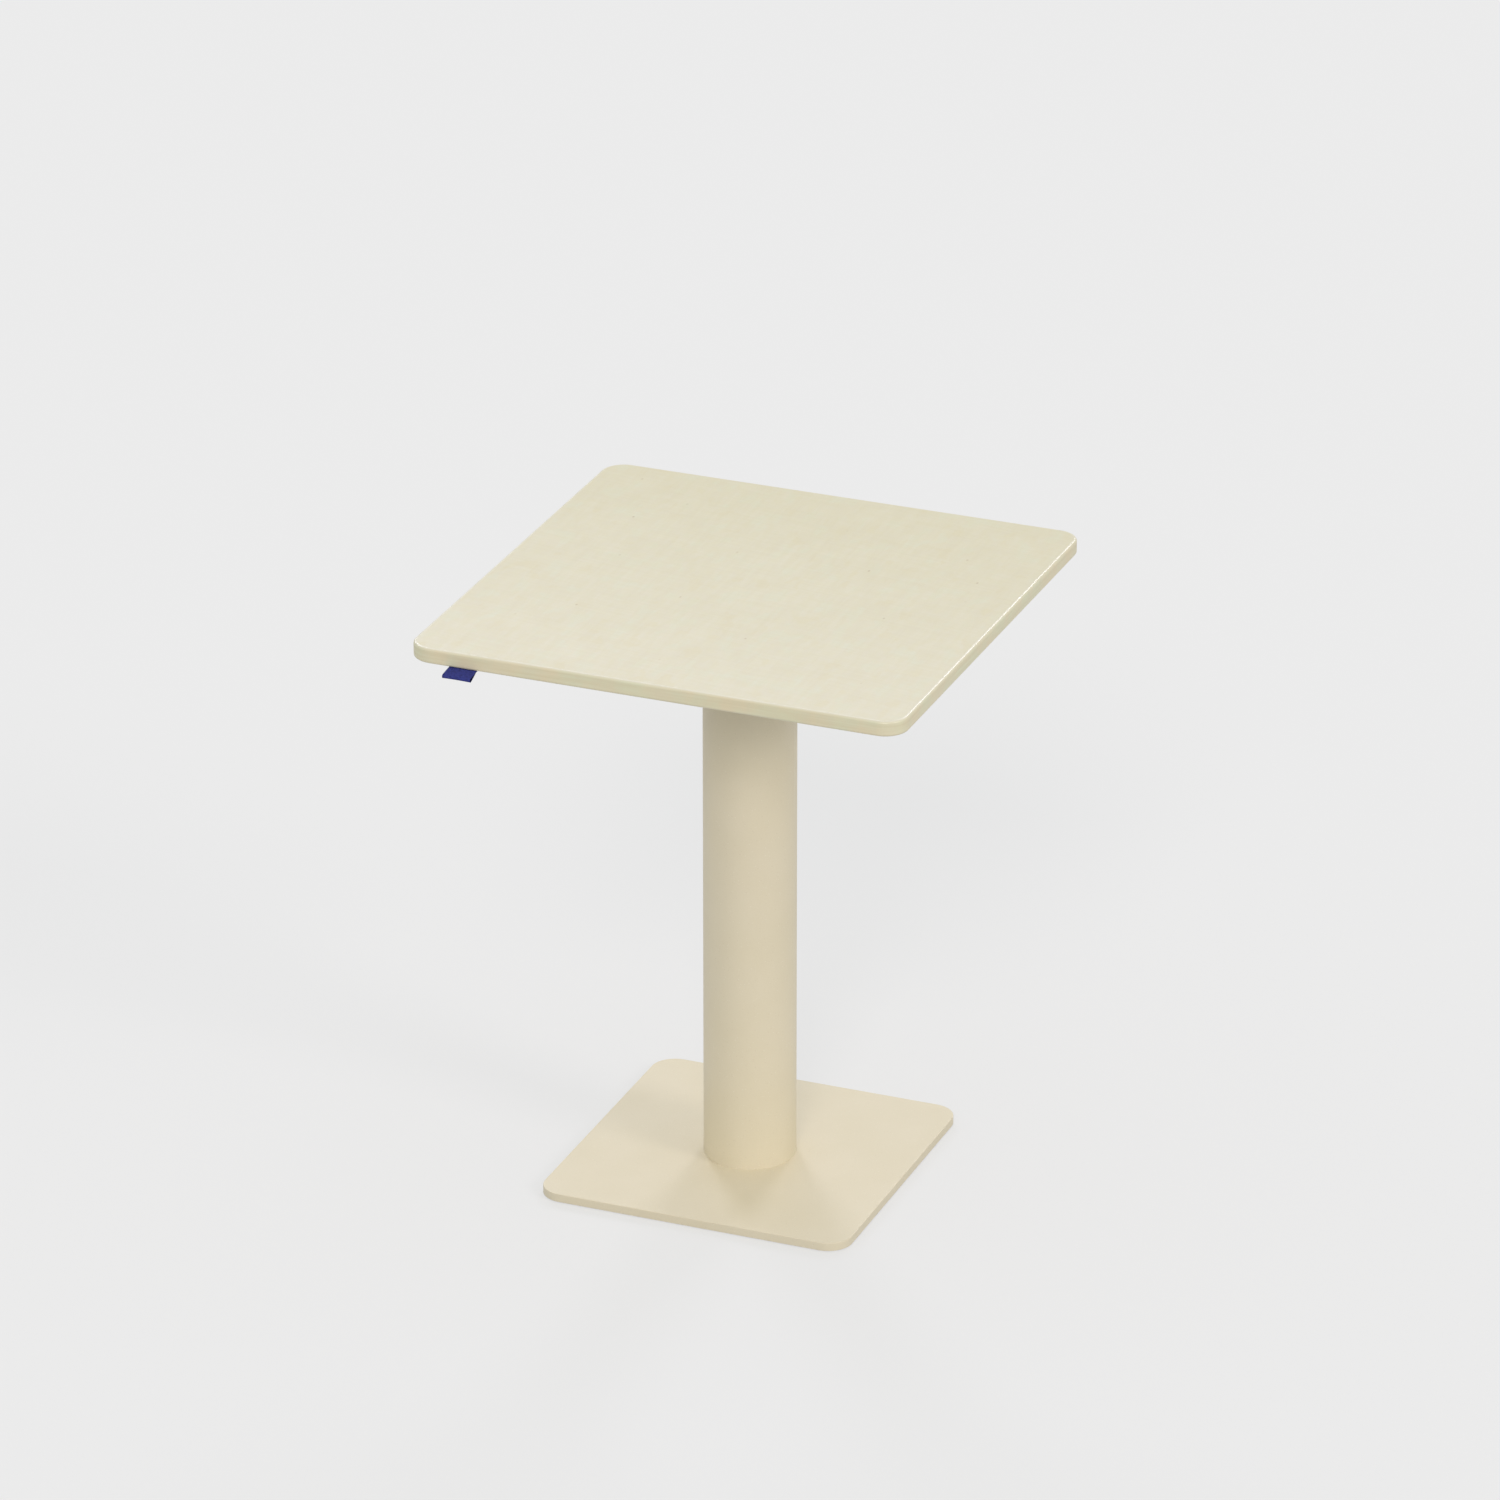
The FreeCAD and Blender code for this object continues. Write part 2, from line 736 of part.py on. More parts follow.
def make_mounting_screws():
    """Four button-head screws from below through the mounting plate into the inserts."""
    body = new_body("mounting_screws", MOUNT_BOTTOM)
    head = S.mounting_screw_head_diameter / 2
    height = S.mounting_screw_head_height
    shank = S.mounting_screw_diameter / 2
    end = S.mounting_plate_thickness + S.insert_length - S.mounting_screw_tip_gap
    profile = [
        (0, -height),
        (head * 0.6, -height),
        (head * 0.9, height * -0.5),
        (head, 0),
        (shank, 0),
        (shank, end),
        (0, end),
    ]
    screw = turned("Revolution", body, "screw", profile, MOUNTING_SCREW_PLACE)
    socket = new_sketch(body, "socket", offset=-height)
    hexagon(socket, S.mounting_screw_socket, MOUNTING_SCREW_PLACE, MOUNTING_SCREW_PLACE)
    repeat(body, [screw, cut(socket, S.mounting_screw_socket_depth)], 4)
    return body


def make_threaded_inserts():
    """Four grooved metal inserts pressed into the tabletop."""
    body = new_body("threaded_inserts", TOP_BOTTOM)
    bore = S.mounting_screw_diameter / 2
    groove = INSERT_RADIUS - S.insert_groove
    step = S.insert_length / 6
    profile = [
        (bore, 0),
        (INSERT_RADIUS, 0),
        (INSERT_RADIUS, step),
        (groove, step * 2),
        (INSERT_RADIUS, step * 3),
        (groove, step * 4),
        (INSERT_RADIUS, step * 5),
        (INSERT_RADIUS, S.insert_length),
        (bore, S.insert_length),
    ]
    insert = turned("Revolution", body, "insert", profile, MOUNTING_SCREW_PLACE)
    repeat(body, [insert], 4)
    return body


def bore_for_inserts(body, depth):
    """Round holes from below for the threaded inserts."""
    hole = new_sketch(body, "insert_hole")
    circle(hole, INSERT_RADIUS, MOUNTING_SCREW_PLACE, MOUNTING_SCREW_PLACE)
    repeat(body, [cut(hole, depth)], 4)


def staples(middle):
    """The left and right end of each of the tag's two staples, which stand about that middle."""
    outer = S.tag_width / 2 - S.staple_edge
    inner = outer - S.staple_width
    return [(-outer + middle, -inner + middle), (inner + middle, outer + middle)]


def bore_for_staples(body, depth, middle, z=0):
    """Narrow holes from below for the legs of the tag's staples."""
    legs = new_sketch(body, "staple_legs", offset=z)
    low = STAPLE_LINE - S.staple_wire / 2
    high = STAPLE_LINE + S.staple_wire / 2
    for left, right in staples(middle):
        rectangle(legs, left, left + S.staple_wire, low, high)
        rectangle(legs, right - S.staple_wire, right, low, high)
    cut(legs, depth)


def make_tabletop_core():
    """The board inside the tabletop."""
    z = TOP_BOTTOM + S.laminate_thickness
    body = rounded_slab("tabletop_core", CORE_SIDE, CORE_CORNER_RADIUS, CORE_THICKNESS, z)
    bore_for_inserts(body, S.insert_length - S.laminate_thickness)
    bore_for_staples(body, S.staple_bite - S.laminate_thickness, TAG_MIDDLE)
    return body


def make_top_laminate():
    """The wood-faced sheet on the upper side of the tabletop."""
    z = S.table_height - S.laminate_thickness
    return rounded_slab("top_laminate", CORE_SIDE, CORE_CORNER_RADIUS, S.laminate_thickness, z)


def make_backing_laminate():
    """The balancing sheet on the underside of the tabletop."""
    body = rounded_slab("backing_laminate", CORE_SIDE, CORE_CORNER_RADIUS, S.laminate_thickness, TOP_BOTTOM)
    bore_for_inserts(body, S.laminate_thickness)
    bore_for_staples(body, S.laminate_thickness, TAG_MIDDLE)
    return body


def make_edge_band():
    """The wooden band round the tabletop's edge, over its whole thickness, with rounded arrises."""
    outside = rounded_slab("edge_band_outside", S.top_side, S.top_corner_radius, S.top_thickness)
    arris = smaller(S.edge_band_rounding, S.edge_band_width * 0.8)
    for height in (0, S.top_thickness):
        dress("Fillet", outside, lambda e: at_height(e, height), arris)
    inside = rounded_slab("edge_band_inside", CORE_SIDE, CORE_CORNER_RADIUS, S.top_thickness)
    return combined("Cut", "edge_band", outside, inside, TOP_BOTTOM)


# ---------------------------------------------------------------- gas spring


def make_spring_cylinder():
    """The gas spring's pressure tube, rolled in at its upper end over the rod seal."""
    body = new_body("spring_cylinder", DISC_TOP)
    outside = S.spring_diameter / 2
    end = SPRING_TOP - DISC_TOP
    under_lip = end - S.spring_lip_thickness
    lip = ROD_RADIUS + S.spring_lip_gap
    shoulder = S.spring_wall * 0.5
    profile = [
        (SPRING_BORE, 0),
        (outside, 0),
        (outside, end - shoulder),
        (outside - shoulder, end),
        (lip, end),
        (lip, under_lip),
        (SPRING_BORE, under_lip),
    ]
    turned("Revolution", body, "profile", profile)
    return body


def make_spring_end_plug():
    """The plug welded into the foot of the pressure tube, with the stud that holds it to the foot disc."""
    body = new_body("spring_end_plug", DISC_TOP)
    stud = S.stud_diameter / 2
    end = S.foot_disc_thickness + S.washer_thickness + S.foot_nut_height + S.stud_proud
    profile = [
        (0, -end),
        (stud, -end),
        (stud, 0),
        (SPRING_BORE, 0),
        (SPRING_BORE, S.end_plug_length),
        (0, S.end_plug_length),
    ]
    turned("Revolution", body, "profile", profile)
    return body


def make_washer(label, z, radius):
    """A plain washer on a stud or rod of that radius."""
    body = new_body(label, z)
    plan = new_sketch(body, "plan")
    circle(plan, S.washer_diameter / 2)
    circle(plan, radius)
    pad(plan, S.washer_thickness)
    return body


def make_nut(label, z, radius, height):
    """A hexagon nut on a stud or rod of that radius."""
    body = new_body(label, z)
    plan = new_sketch(body, "plan")
    hexagon(plan, S.hex_nut_width)
    circle(plan, radius)
    pad(plan, height)
    return body


def make_spring_foot_fastening():
    """The washer and nut in the base plate's well that hold the gas spring's stud."""
    stud = S.stud_diameter / 2
    under_disc = PLATE_TOP - S.washer_thickness
    return [
        make_washer("spring_foot_washer", under_disc, stud + S.stud_play),
        make_nut("spring_foot_nut", under_disc - S.foot_nut_height, stud, S.foot_nut_height),
    ]


def make_rod_fastening():
    """The washer and nut under the bridge that pass the spring's push to the inner tube."""
    under_bridge = BRIDGE_BOTTOM - S.washer_thickness
    return [
        make_washer("rod_washer", under_bridge, ROD_RADIUS),
        make_nut("rod_nut", under_bridge - S.rod_nut_height, ROD_RADIUS, S.rod_nut_height),
    ]


def make_rod_bearings():
    """The guide and the seal that the rod slides through, below the tube's rolled lip."""
    made = []
    for label, z, length in (
        ("spring_rod_guide", ROD_GUIDE_BOTTOM, S.rod_guide_length),
        ("spring_rod_seal", ROD_SEAL_BOTTOM, S.rod_seal_length),
    ):
        body = new_body(label, z)
        plan = new_sketch(body, "plan")
        circle(plan, SPRING_BORE)
        circle(plan, ROD_RADIUS + S.rod_play)
        pad(plan, length)
        made.append(body)
    return made


def make_piston_rod():
    """The hollow rod, with a spigot for the piston at its foot and its threaded head in the release head."""
    body = new_body("piston_rod", PISTON_BOTTOM)
    bore = PIN_RADIUS + S.release_pin_play
    end = ROD_TOP - PISTON_BOTTOM
    profile = [
        (bore, 0),
        (ROD_SPIGOT_RADIUS, 0),
        (ROD_SPIGOT_RADIUS, S.piston_length),
        (ROD_RADIUS, S.piston_length),
        (ROD_RADIUS, end),
        (bore, end),
    ]
    turned("Revolution", body, "profile", profile)
    return body


def make_spring_piston():
    """The piston on the rod's spigot, with a groove for its seal."""
    body = new_body("spring_piston", PISTON_BOTTOM)
    outside = SPRING_BORE - S.piston_play
    floor = outside - S.piston_seal_depth
    low = S.piston_length / 2 - S.piston_seal_width / 2
    high = low + S.piston_seal_width
    profile = [
        (ROD_SPIGOT_RADIUS, 0),
        (outside, 0),
        (outside, low),
        (floor, low),
        (floor, high),
        (outside, high),
        (outside, S.piston_length),
        (ROD_SPIGOT_RADIUS, S.piston_length),
    ]
    turned("Revolution", body, "profile", profile)
    return body


def make_piston_seal():
    """The sliding ring in the piston's groove."""
    body = new_body("piston_seal", PISTON_BOTTOM + S.piston_length / 2 - S.piston_seal_width / 2)
    plan = new_sketch(body, "plan")
    circle(plan, SPRING_BORE - S.piston_seal_play)
    circle(plan, SPRING_BORE - S.piston_play - S.piston_seal_depth)
    pad(plan, S.piston_seal_width)
    return body


def make_release_pin():
    """The long pin inside the rod. Its foot is the valve that closes on the rod's spigot."""
    body = new_body("release_pin", PISTON_BOTTOM - S.valve_head_thickness)
    head = S.valve_head_diameter / 2
    end = PIN_TIP - PISTON_BOTTOM + S.valve_head_thickness
    profile = [
        (0, 0),
        (head, 0),
        (head, S.valve_head_thickness),
        (PIN_RADIUS, S.valve_head_thickness),
        (PIN_RADIUS, end - PIN_RADIUS / 2),
        (PIN_RADIUS / 2, end),
        (0, end),
    ]
    turned("Revolution", body, "profile", profile)
    return body


# ---------------------------------------------------------------- release head and lever


def make_release_head():
    """The fork screwed on the rod's head, which carries the lever's pivot above the release pin."""
    body = new_body("release_head", BRIDGE_TOP)
    plan = new_sketch(body, "plan")
    half = S.head_width / 2
    rectangle(plan, -S.head_tail, S.lever_short_arm + S.head_nose, -half, half)
    height = PIVOT_HEIGHT + S.head_crown - BRIDGE_TOP
    pad(plan, height)
    dress("Fillet", body, upright, S.head_corner_radius)
    bore = new_sketch(body, "rod_bore")
    circle(bore, ROD_RADIUS)
    cut(bore, S.head_floor)
    slot = new_sketch(body, "lever_slot", offset=S.head_floor)
    side = S.lever_thickness / 2 + S.lever_side_play
    rectangle(slot, -S.head_tail - 1, S.lever_short_arm + S.head_nose + 1, -side, side)
    cut(slot, height)
    pivot = new_sketch(body, "pivot_hole", "XZ_Plane")
    circle(pivot, S.pivot_diameter / 2, S.lever_short_arm, PIVOT_HEIGHT - BRIDGE_TOP)
    cut(pivot, S.head_width * 2, symmetric=True)
    return body


def make_lever_pin():
    """The headed pin that the lever turns on, with a groove for its clip."""
    body = new_body("lever_pin", PIVOT_HEIGHT, S.lever_short_arm)
    half = S.head_width / 2
    pin = S.pivot_diameter / 2
    groove = half + S.clip_thickness + S.clip_play * 2
    neck = pin - S.clip_groove_depth
    end = groove + S.pivot_tail
    head = S.pivot_head_diameter / 2
    profile = [
        (0, -half - S.pivot_head_thickness),
        (head, -half - S.pivot_head_thickness),
        (head, -half),
        (pin, -half),
        (pin, half),
        (neck, half),
        (neck, groove),
        (pin, groove),
        (pin, end),
        (0, end),
    ]
    turned("Revolution", body, "profile", profile, along="Y")
    return body


def make_lever_pin_clip():
    """The open clip in the lever pin's groove."""
    body = new_body("lever_pin_clip", PIVOT_HEIGHT, S.lever_short_arm)
    plan = new_sketch(body, "plan", "XZ_Plane", -(S.head_width / 2 + S.clip_play + S.clip_thickness))
    neck = S.pivot_diameter / 2 - S.clip_groove_depth
    circle(plan, S.clip_diameter / 2)
    circle(plan, neck)
    pad(plan, S.clip_thickness)
    mouth = new_sketch(body, "mouth", "XZ_Plane", -(S.head_width / 2))
    rectangle(mouth, neck * -0.8, neck * 0.8, -S.clip_diameter, 0)
    cut(mouth, S.clip_thickness * 8, symmetric=True)
    return body


def make_release_lever():
    """The flat steel lever: a hub on the pivot, a nose over the release pin and an arm that drops outside."""
    body = new_body("release_lever", PIVOT_HEIGHT, S.lever_short_arm)
    nose_height = S.nose_radius + S.nose_play - S.pivot_above_pin
    half = S.lever_height / 2
    low = -S.lever_drop
    slope_end = LEVER_STRAIGHT + S.lever_slope
    arm = new_sketch(body, "arm", "XZ_Plane")
    outline(
        arm,
        [
            (0, -half),
            (LEVER_STRAIGHT, -half),
            (slope_end, low - half),
            (S.lever_reach, low - half),
            (S.lever_reach, low + half),
            (slope_end, low + half),
            (LEVER_STRAIGHT, half),
            (0, half),
        ],
    )
    pad(arm, S.lever_thickness, symmetric=True)
    bends = (number(LEVER_STRAIGHT), number(slope_end))
    across = FreeCAD.Vector(0, 1, 0)
    dress(
        "Fillet",
        body,
        lambda e: runs_along(across, e) and min(abs(e.BoundBox.Center.x - x) for x in bends) < 0.01,
        S.lever_bend_radius,
    )
    hub = new_sketch(body, "hub", "XZ_Plane")
    circle(hub, S.hub_radius)
    pad(hub, S.lever_thickness, symmetric=True)
    nose = new_sketch(body, "nose", "XZ_Plane")
    circle(nose, S.nose_radius, -S.lever_short_arm, nose_height)
    pad(nose, S.lever_thickness, symmetric=True)
    link = new_sketch(body, "nose_link", "XZ_Plane")
    outline(
        link,
        [
            (-S.lever_short_arm, nose_height - S.nose_radius),
            (0, -S.hub_radius),
            (0, S.hub_radius),
            (-S.lever_short_arm, nose_height + S.nose_radius),
        ],
    )
    pad(link, S.lever_thickness, symmetric=True)
    bore = new_sketch(body, "bore", "XZ_Plane")
    circle(bore, S.pivot_diameter / 2 + S.pivot_play)
    cut(bore, S.lever_thickness * 2, symmetric=True)
    return body


def make_lever_grip():
    """The moulded paddle pushed on the end of the lever, scooped below for the fingers."""
    body = new_body("lever_grip", PIVOT_HEIGHT - S.lever_drop, S.lever_short_arm)
    end = S.lever_reach + S.grip_overhang
    start = end - S.grip_length
    shoulder = start + S.grip_shoulder
    neck = S.grip_neck_width / 2
    half = S.grip_width / 2
    plan = new_sketch(body, "plan", offset=GRIP_THICKNESS / -2)
    outline(
        plan,
        [(start, -neck), (shoulder, -half), (end, -half), (end, half), (shoulder, half), (start, neck)],
    )
    pad(plan, GRIP_THICKNESS)
    wide = number(shoulder) - 0.01
    dress("Fillet", body, lambda e: upright(e) and e.BoundBox.XMin > wide, S.grip_corner_radius)
    face = number(start) + 0.01
    dress("Fillet", body, lambda e: not upright(e) and e.BoundBox.XMax > face, S.grip_rounding)
    scoop = new_sketch(body, "scoop", "XZ_Plane")
    drop = S.lever_height / 2 + S.grip_scoop_skin + S.grip_scoop_radius
    circle(scoop, S.grip_scoop_radius, (shoulder + end) / 2, -drop)
    cut(scoop, S.grip_width * 2, symmetric=True)
    socket = new_sketch(body, "lever_socket", "XZ_Plane")
    rectangle(socket, start, S.lever_reach, S.lever_height / -2, S.lever_height / 2)
    cut(socket, S.lever_thickness, symmetric=True)
    return body


# ---------------------------------------------------------------- tag


def tag_loop(sketch, radius, roots):
    """The side view of the ribbon's loop: from one or two points at its root round a fold of that radius."""
    fold = S.top_side / -2 - S.tag_reach + S.tag_fold_radius
    middle = -S.tag_droop - S.tag_fold_radius
    high = middle + radius
    low = middle - radius
    far = vector(fold - radius, middle)
    upper = sketch.addGeometry(Part.LineSegment(vector(*roots[0]), vector(fold, high)))
    arc = sketch.addGeometry(Part.Arc(vector(fold, high), far, vector(fold, low)))
    lower = sketch.addGeometry(Part.LineSegment(vector(fold, low), vector(*roots[-1])))
    hold_point(sketch, upper, 1, *roots[0])
    hold_point(sketch, upper, 2, fold, high)
    hold_point(sketch, lower, 1, fold, low)
    hold(sketch, "DistanceX", -1, 1, arc, 3, size=fold)
    hold(sketch, "DistanceY", -1, 1, arc, 3, size=middle)
    hold(sketch, "Radius", arc, size=radius)
    if len(roots) == 1:
        sketch.addConstraint(Sketcher.Constraint("Coincident", lower, 2, upper, 1))
        return
    hold_point(sketch, lower, 2, *roots[1])
    back = sketch.addGeometry(Part.LineSegment(vector(*roots[1]), vector(*roots[0])))
    sketch.addConstraint(Sketcher.Constraint("Coincident", lower, 2, back, 1))
    sketch.addConstraint(Sketcher.Constraint("Coincident", back, 2, upper, 1))


def make_fabric_tag():
    """The woven ribbon, folded once into a loop and stapled under the front edge of the tabletop."""
    body = new_body("fabric_tag", TOP_BOTTOM, TAG_MIDDLE)
    edge = S.top_side / -2
    tail = new_sketch(body, "tail", "YZ_Plane")
    rectangle(tail, edge, edge + S.tag_tail, -TAG_TAIL_THICKNESS, 0)
    pad(tail, S.tag_width, symmetric=True)
    loop = new_sketch(body, "loop", "YZ_Plane")
    tag_loop(loop, S.tag_fold_radius, [(edge, 0), (edge, -TAG_TAIL_THICKNESS)])
    pad(loop, S.tag_width, symmetric=True)
    hollow = new_sketch(body, "hollow", "YZ_Plane")
    tag_loop(hollow, S.tag_fold_radius - S.tag_ribbon, [(edge - S.tag_ribbon, -S.tag_ribbon)])
    cut(hollow, S.tag_width * 2, symmetric=True)
    bore_for_staples(body, TAG_TAIL_THICKNESS, 0, -TAG_TAIL_THICKNESS)
    return body


def make_tag_staples():
    """Two wire staples that hold the tag's tail to the tabletop."""
    body = new_body("tag_staples", TOP_BOTTOM - TAG_TAIL_THICKNESS - S.staple_wire, TAG_MIDDLE)
    high = S.staple_wire + TAG_TAIL_THICKNESS + S.staple_bite
    for name, (left, right) in zip(("left", "right"), staples(0)):
        front = new_sketch(body, name, "XZ_Plane", -STAPLE_LINE)
        outline(
            front,
            [
                (left, 0),
                (right, 0),
                (right, high),
                (right - S.staple_wire, high),
                (right - S.staple_wire, S.staple_wire),
                (left + S.staple_wire, S.staple_wire),
                (left + S.staple_wire, high),
                (left, high),
            ],
        )
        pad(front, S.staple_wire, symmetric=True)
    return body


# ---------------------------------------------------------------- assembly


def make_all():
    """Every sub-part of the table."""
    return [
        make_base_plate(),
        make_base_glides(),
        make_base_screws(),
        make_foot_disc(),
        make_outer_tube(),
        make_guide_rail(),
        make_upper_guide_bush(),
        make_bump_stop(),
        make_spring_cylinder(),
        make_spring_end_plug(),
        *make_spring_foot_fastening(),
        *make_rod_bearings(),
        make_inner_tube(),
        make_lower_guide_bush(),
        make_lower_bush_pins(),
        make_spring_bridge(),
        make_mounting_plate(),
        make_mounting_screws(),
        make_threaded_inserts(),
        make_tabletop_core(),
        make_top_laminate(),
        make_backing_laminate(),
        make_edge_band(),
        make_fabric_tag(),
        make_tag_staples(),
        make_piston_rod(),
        make_spring_piston(),
        make_piston_seal(),
        *make_rod_fastening(),
        make_release_head(),
        make_lever_pin(),
        make_lever_pin_clip(),
        make_release_lever(),
        make_lever_grip(),
        make_release_pin(),
    ]


def check(parts):
    """Stops the build if an object failed or a sub-part is empty or broken."""
    doc.recompute()
    for thing in doc.Objects:
        if {"Invalid", "Error"} & set(thing.State):
            raise RuntimeError(f"{thing.Label} failed: {thing.State}")
    for part in parts:
        if part.Shape.isNull() or not part.Shape.isValid() or not part.Shape.Solids:
            raise RuntimeError(f"{part.Label} has no valid solid")


def export(parts):
    """Writes each sub-part to a file named by its label."""
    os.makedirs("parts", exist_ok=True)
    for part in parts:
        part.Shape.exportStep(f"parts/{part.Label}.step")


sub_parts = make_all()
check(sub_parts)
export(sub_parts)
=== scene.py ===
import math

import bmesh
import bpy
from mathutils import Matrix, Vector


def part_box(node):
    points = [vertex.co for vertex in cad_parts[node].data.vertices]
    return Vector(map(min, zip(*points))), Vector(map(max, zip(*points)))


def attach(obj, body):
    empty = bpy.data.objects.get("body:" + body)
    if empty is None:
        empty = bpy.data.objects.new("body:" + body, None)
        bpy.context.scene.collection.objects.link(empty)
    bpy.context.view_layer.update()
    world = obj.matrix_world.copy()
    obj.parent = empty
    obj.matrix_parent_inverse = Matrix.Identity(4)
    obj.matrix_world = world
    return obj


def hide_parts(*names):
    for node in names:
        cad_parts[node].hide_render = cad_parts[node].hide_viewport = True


# The looks of a telescoping pedestal table: birch top, cream powder-coated column and base, navy woven tag.
# Lengths are in metres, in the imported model's frame: +Z up, the floor at z = 0, the column on the Z axis.
# The front of the table faces -Y. Colours are linear RGB.

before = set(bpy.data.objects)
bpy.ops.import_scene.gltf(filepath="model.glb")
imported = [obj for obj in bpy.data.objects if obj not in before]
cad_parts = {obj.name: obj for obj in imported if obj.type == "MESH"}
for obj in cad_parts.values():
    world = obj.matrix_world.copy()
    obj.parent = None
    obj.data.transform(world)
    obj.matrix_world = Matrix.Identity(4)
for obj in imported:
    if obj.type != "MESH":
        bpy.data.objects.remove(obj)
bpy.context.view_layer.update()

MM = 0.001
MICRON = 0.000001


# ---------------------------------------------------------------- node materials


# The middle part of a noise's range that a pattern is drawn from. A narrower part gives more contrast.
SOFT = (0.3, 0.7)
FIRM = (0.35, 0.65)


class Finish:
    """A node material round one Principled shader. Each method adds a node and returns its output."""

    def __init__(self, name, **settings):
        self.material = bpy.data.materials.new(name)
        self.material.use_nodes = True
        self.tree = self.material.node_tree
        self.tree.nodes.clear()
        self.output = self.tree.nodes.new("ShaderNodeOutputMaterial")
        self.shader = self.tree.nodes.new("ShaderNodeBsdfPrincipled")
        self.tree.links.new(self.shader.outputs[0], self.output.inputs["Surface"])
        self.look(**settings)

    def look(self, **settings):
        """Sets the shader's own sockets, named with underscores for spaces, and returns the material."""
        for setting, value in settings.items():
            self.put(self.shader, setting.replace("_", " "), value)
        return self.material

    def put(self, node, socket, value):
        """Links a socket to another node's output, or sets its own value."""
        if isinstance(value, bpy.types.NodeSocket):
            self.tree.links.new(value, node.inputs[socket])
        elif isinstance(value, tuple) and len(value) == 3 and node.inputs[socket].type == "RGBA":
            node.inputs[socket].default_value = (*value, 1.0)
        else:
            node.inputs[socket].default_value = value

    def add(self, kind, result=0, sockets=(), **attributes):
        node = self.tree.nodes.new("ShaderNode" + kind)
        for attribute, value in attributes.items():
            setattr(node, attribute, value)
        for socket, value in dict(sockets).items():
            self.put(node, socket, value)
        return node.outputs[result]

    def place(self, scale=(1.0, 1.0, 1.0), turn=(0.0, 0.0, 0.0)):
        """The piece's own coordinates in metres, turned, then scaled. A larger scale is a finer pattern."""
        point = self.add("TexCoord", "Object")
        turned = self.add("Mapping", sockets={"Vector": point, "Rotation": turn})
        return self.add("Mapping", sockets={"Vector": turned, "Scale": scale})

    def along(self, axis, vector):
        """One coordinate of a vector: X, Y or Z."""
        return self.add("SeparateXYZ", axis, {"Vector": vector})

    def noise(self, vector, scale=1.0, detail=2.0, roughness=0.5):
        sockets = {"Vector": vector, "Scale": scale, "Detail": detail, "Roughness": roughness}
        return self.add("TexNoise", "Fac", sockets)

    def cells(self, vector, scale=1.0, result="Distance", **attributes):
        return self.add("TexVoronoi", result, {"Vector": vector, "Scale": scale}, **attributes)

    def math(self, operation, first, second=0.0):
        return self.add("Math", sockets={0: first, 1: second}, operation=operation)

    def span(self, value, low, high, start=0.0, end=1.0):
        """Maps low to start and high to end, and holds what lies outside them."""
        sockets = {"Value": value, "From Min": low, "From Max": high, "To Min": start, "To Max": end}
        return self.add("MapRange", sockets=sockets)

    def mix(self, share, first, second, blend="MIX"):
        """Blends two colours: the first where share is 0, the second where it is 1."""
        node = self.tree.nodes.new("ShaderNodeMix")
        node.data_type = "RGBA"
        node.blend_type = blend
        self.put(node, 0, share)
        colours = [place for place, socket in enumerate(node.inputs) if socket.type == "RGBA"]
        for place, value in zip(colours, (first, second)):
            self.put(node, place, value)
        return next(socket for socket in node.outputs if socket.type == "RGBA")

    def layer(self, tone, pattern, strength, colour):
        """Lays a colour over the tone where the pattern is 1, at that strength."""
        return self.mix(self.math("MULTIPLY", pattern, strength), tone, colour)

    def bump(self, height, distance, strength=1.0, under=None):
        """Relief of that height in metres where the pattern is 1."""
        sockets = {"Height": height, "Distance": distance, "Strength": strength}
        if under is not None:
            sockets["Normal"] = under
        return self.add("Bump", sockets=sockets)


# The wood's ground colour, and the colours of what makes up its figure.
BIRCH = (0.739, 0.697, 0.543)
BIRCH_CLOUD = (0.629, 0.570, 0.415)
BIRCH_COOL_PATCH = (0.716, 0.706, 0.552)
BIRCH_WARM_PATCH = (0.710, 0.640, 0.434)
BIRCH_MOTTLE = (0.723, 0.675, 0.453)
BIRCH_FIBRE = (0.604, 0.535, 0.308)
BIRCH_RIPPLE = (0.590, 0.515, 0.316)
BIRCH_FLECK = (0.449, 0.336, 0.188)

# Painted sheen and shade: the wood is multiplied by a lighter, whiter colour at the top's front edge and by a
# darker one at its back edge. They lie DRIFT_REACH from its middle, and the drift wanders to and fro by
# DRIFT_WANDER.
FRONT_PAINTED_SHEEN = (1.045, 1.048, 1.090)
BACK_PAINTED_SHADE = (0.955, 0.952, 0.910)
DRIFT_REACH = 0.3
DRIFT_WANDER = 0.05

# The ripples and flecks lie a little askew to the fibres.
ASKEW = (0.0, 0.0, math.radians(7.0))


def painted_sheen_drift(f, tone):
    """Painted sheen and shade: the wood is painted a little lighter and whiter towards the front of the
    table, darker towards the back.
    """
    depth = f.along("Y", f.place())
    wander = f.span(f.noise(f.place(), scale=7.0, detail=3.0), *SOFT, start=-DRIFT_WANDER, end=DRIFT_WANDER)
    share = f.span(f.math("ADD", depth, wander), -DRIFT_REACH, DRIFT_REACH)
    return f.mix(1.0, tone, f.mix(share, FRONT_PAINTED_SHEEN, BACK_PAINTED_SHADE), "MULTIPLY")


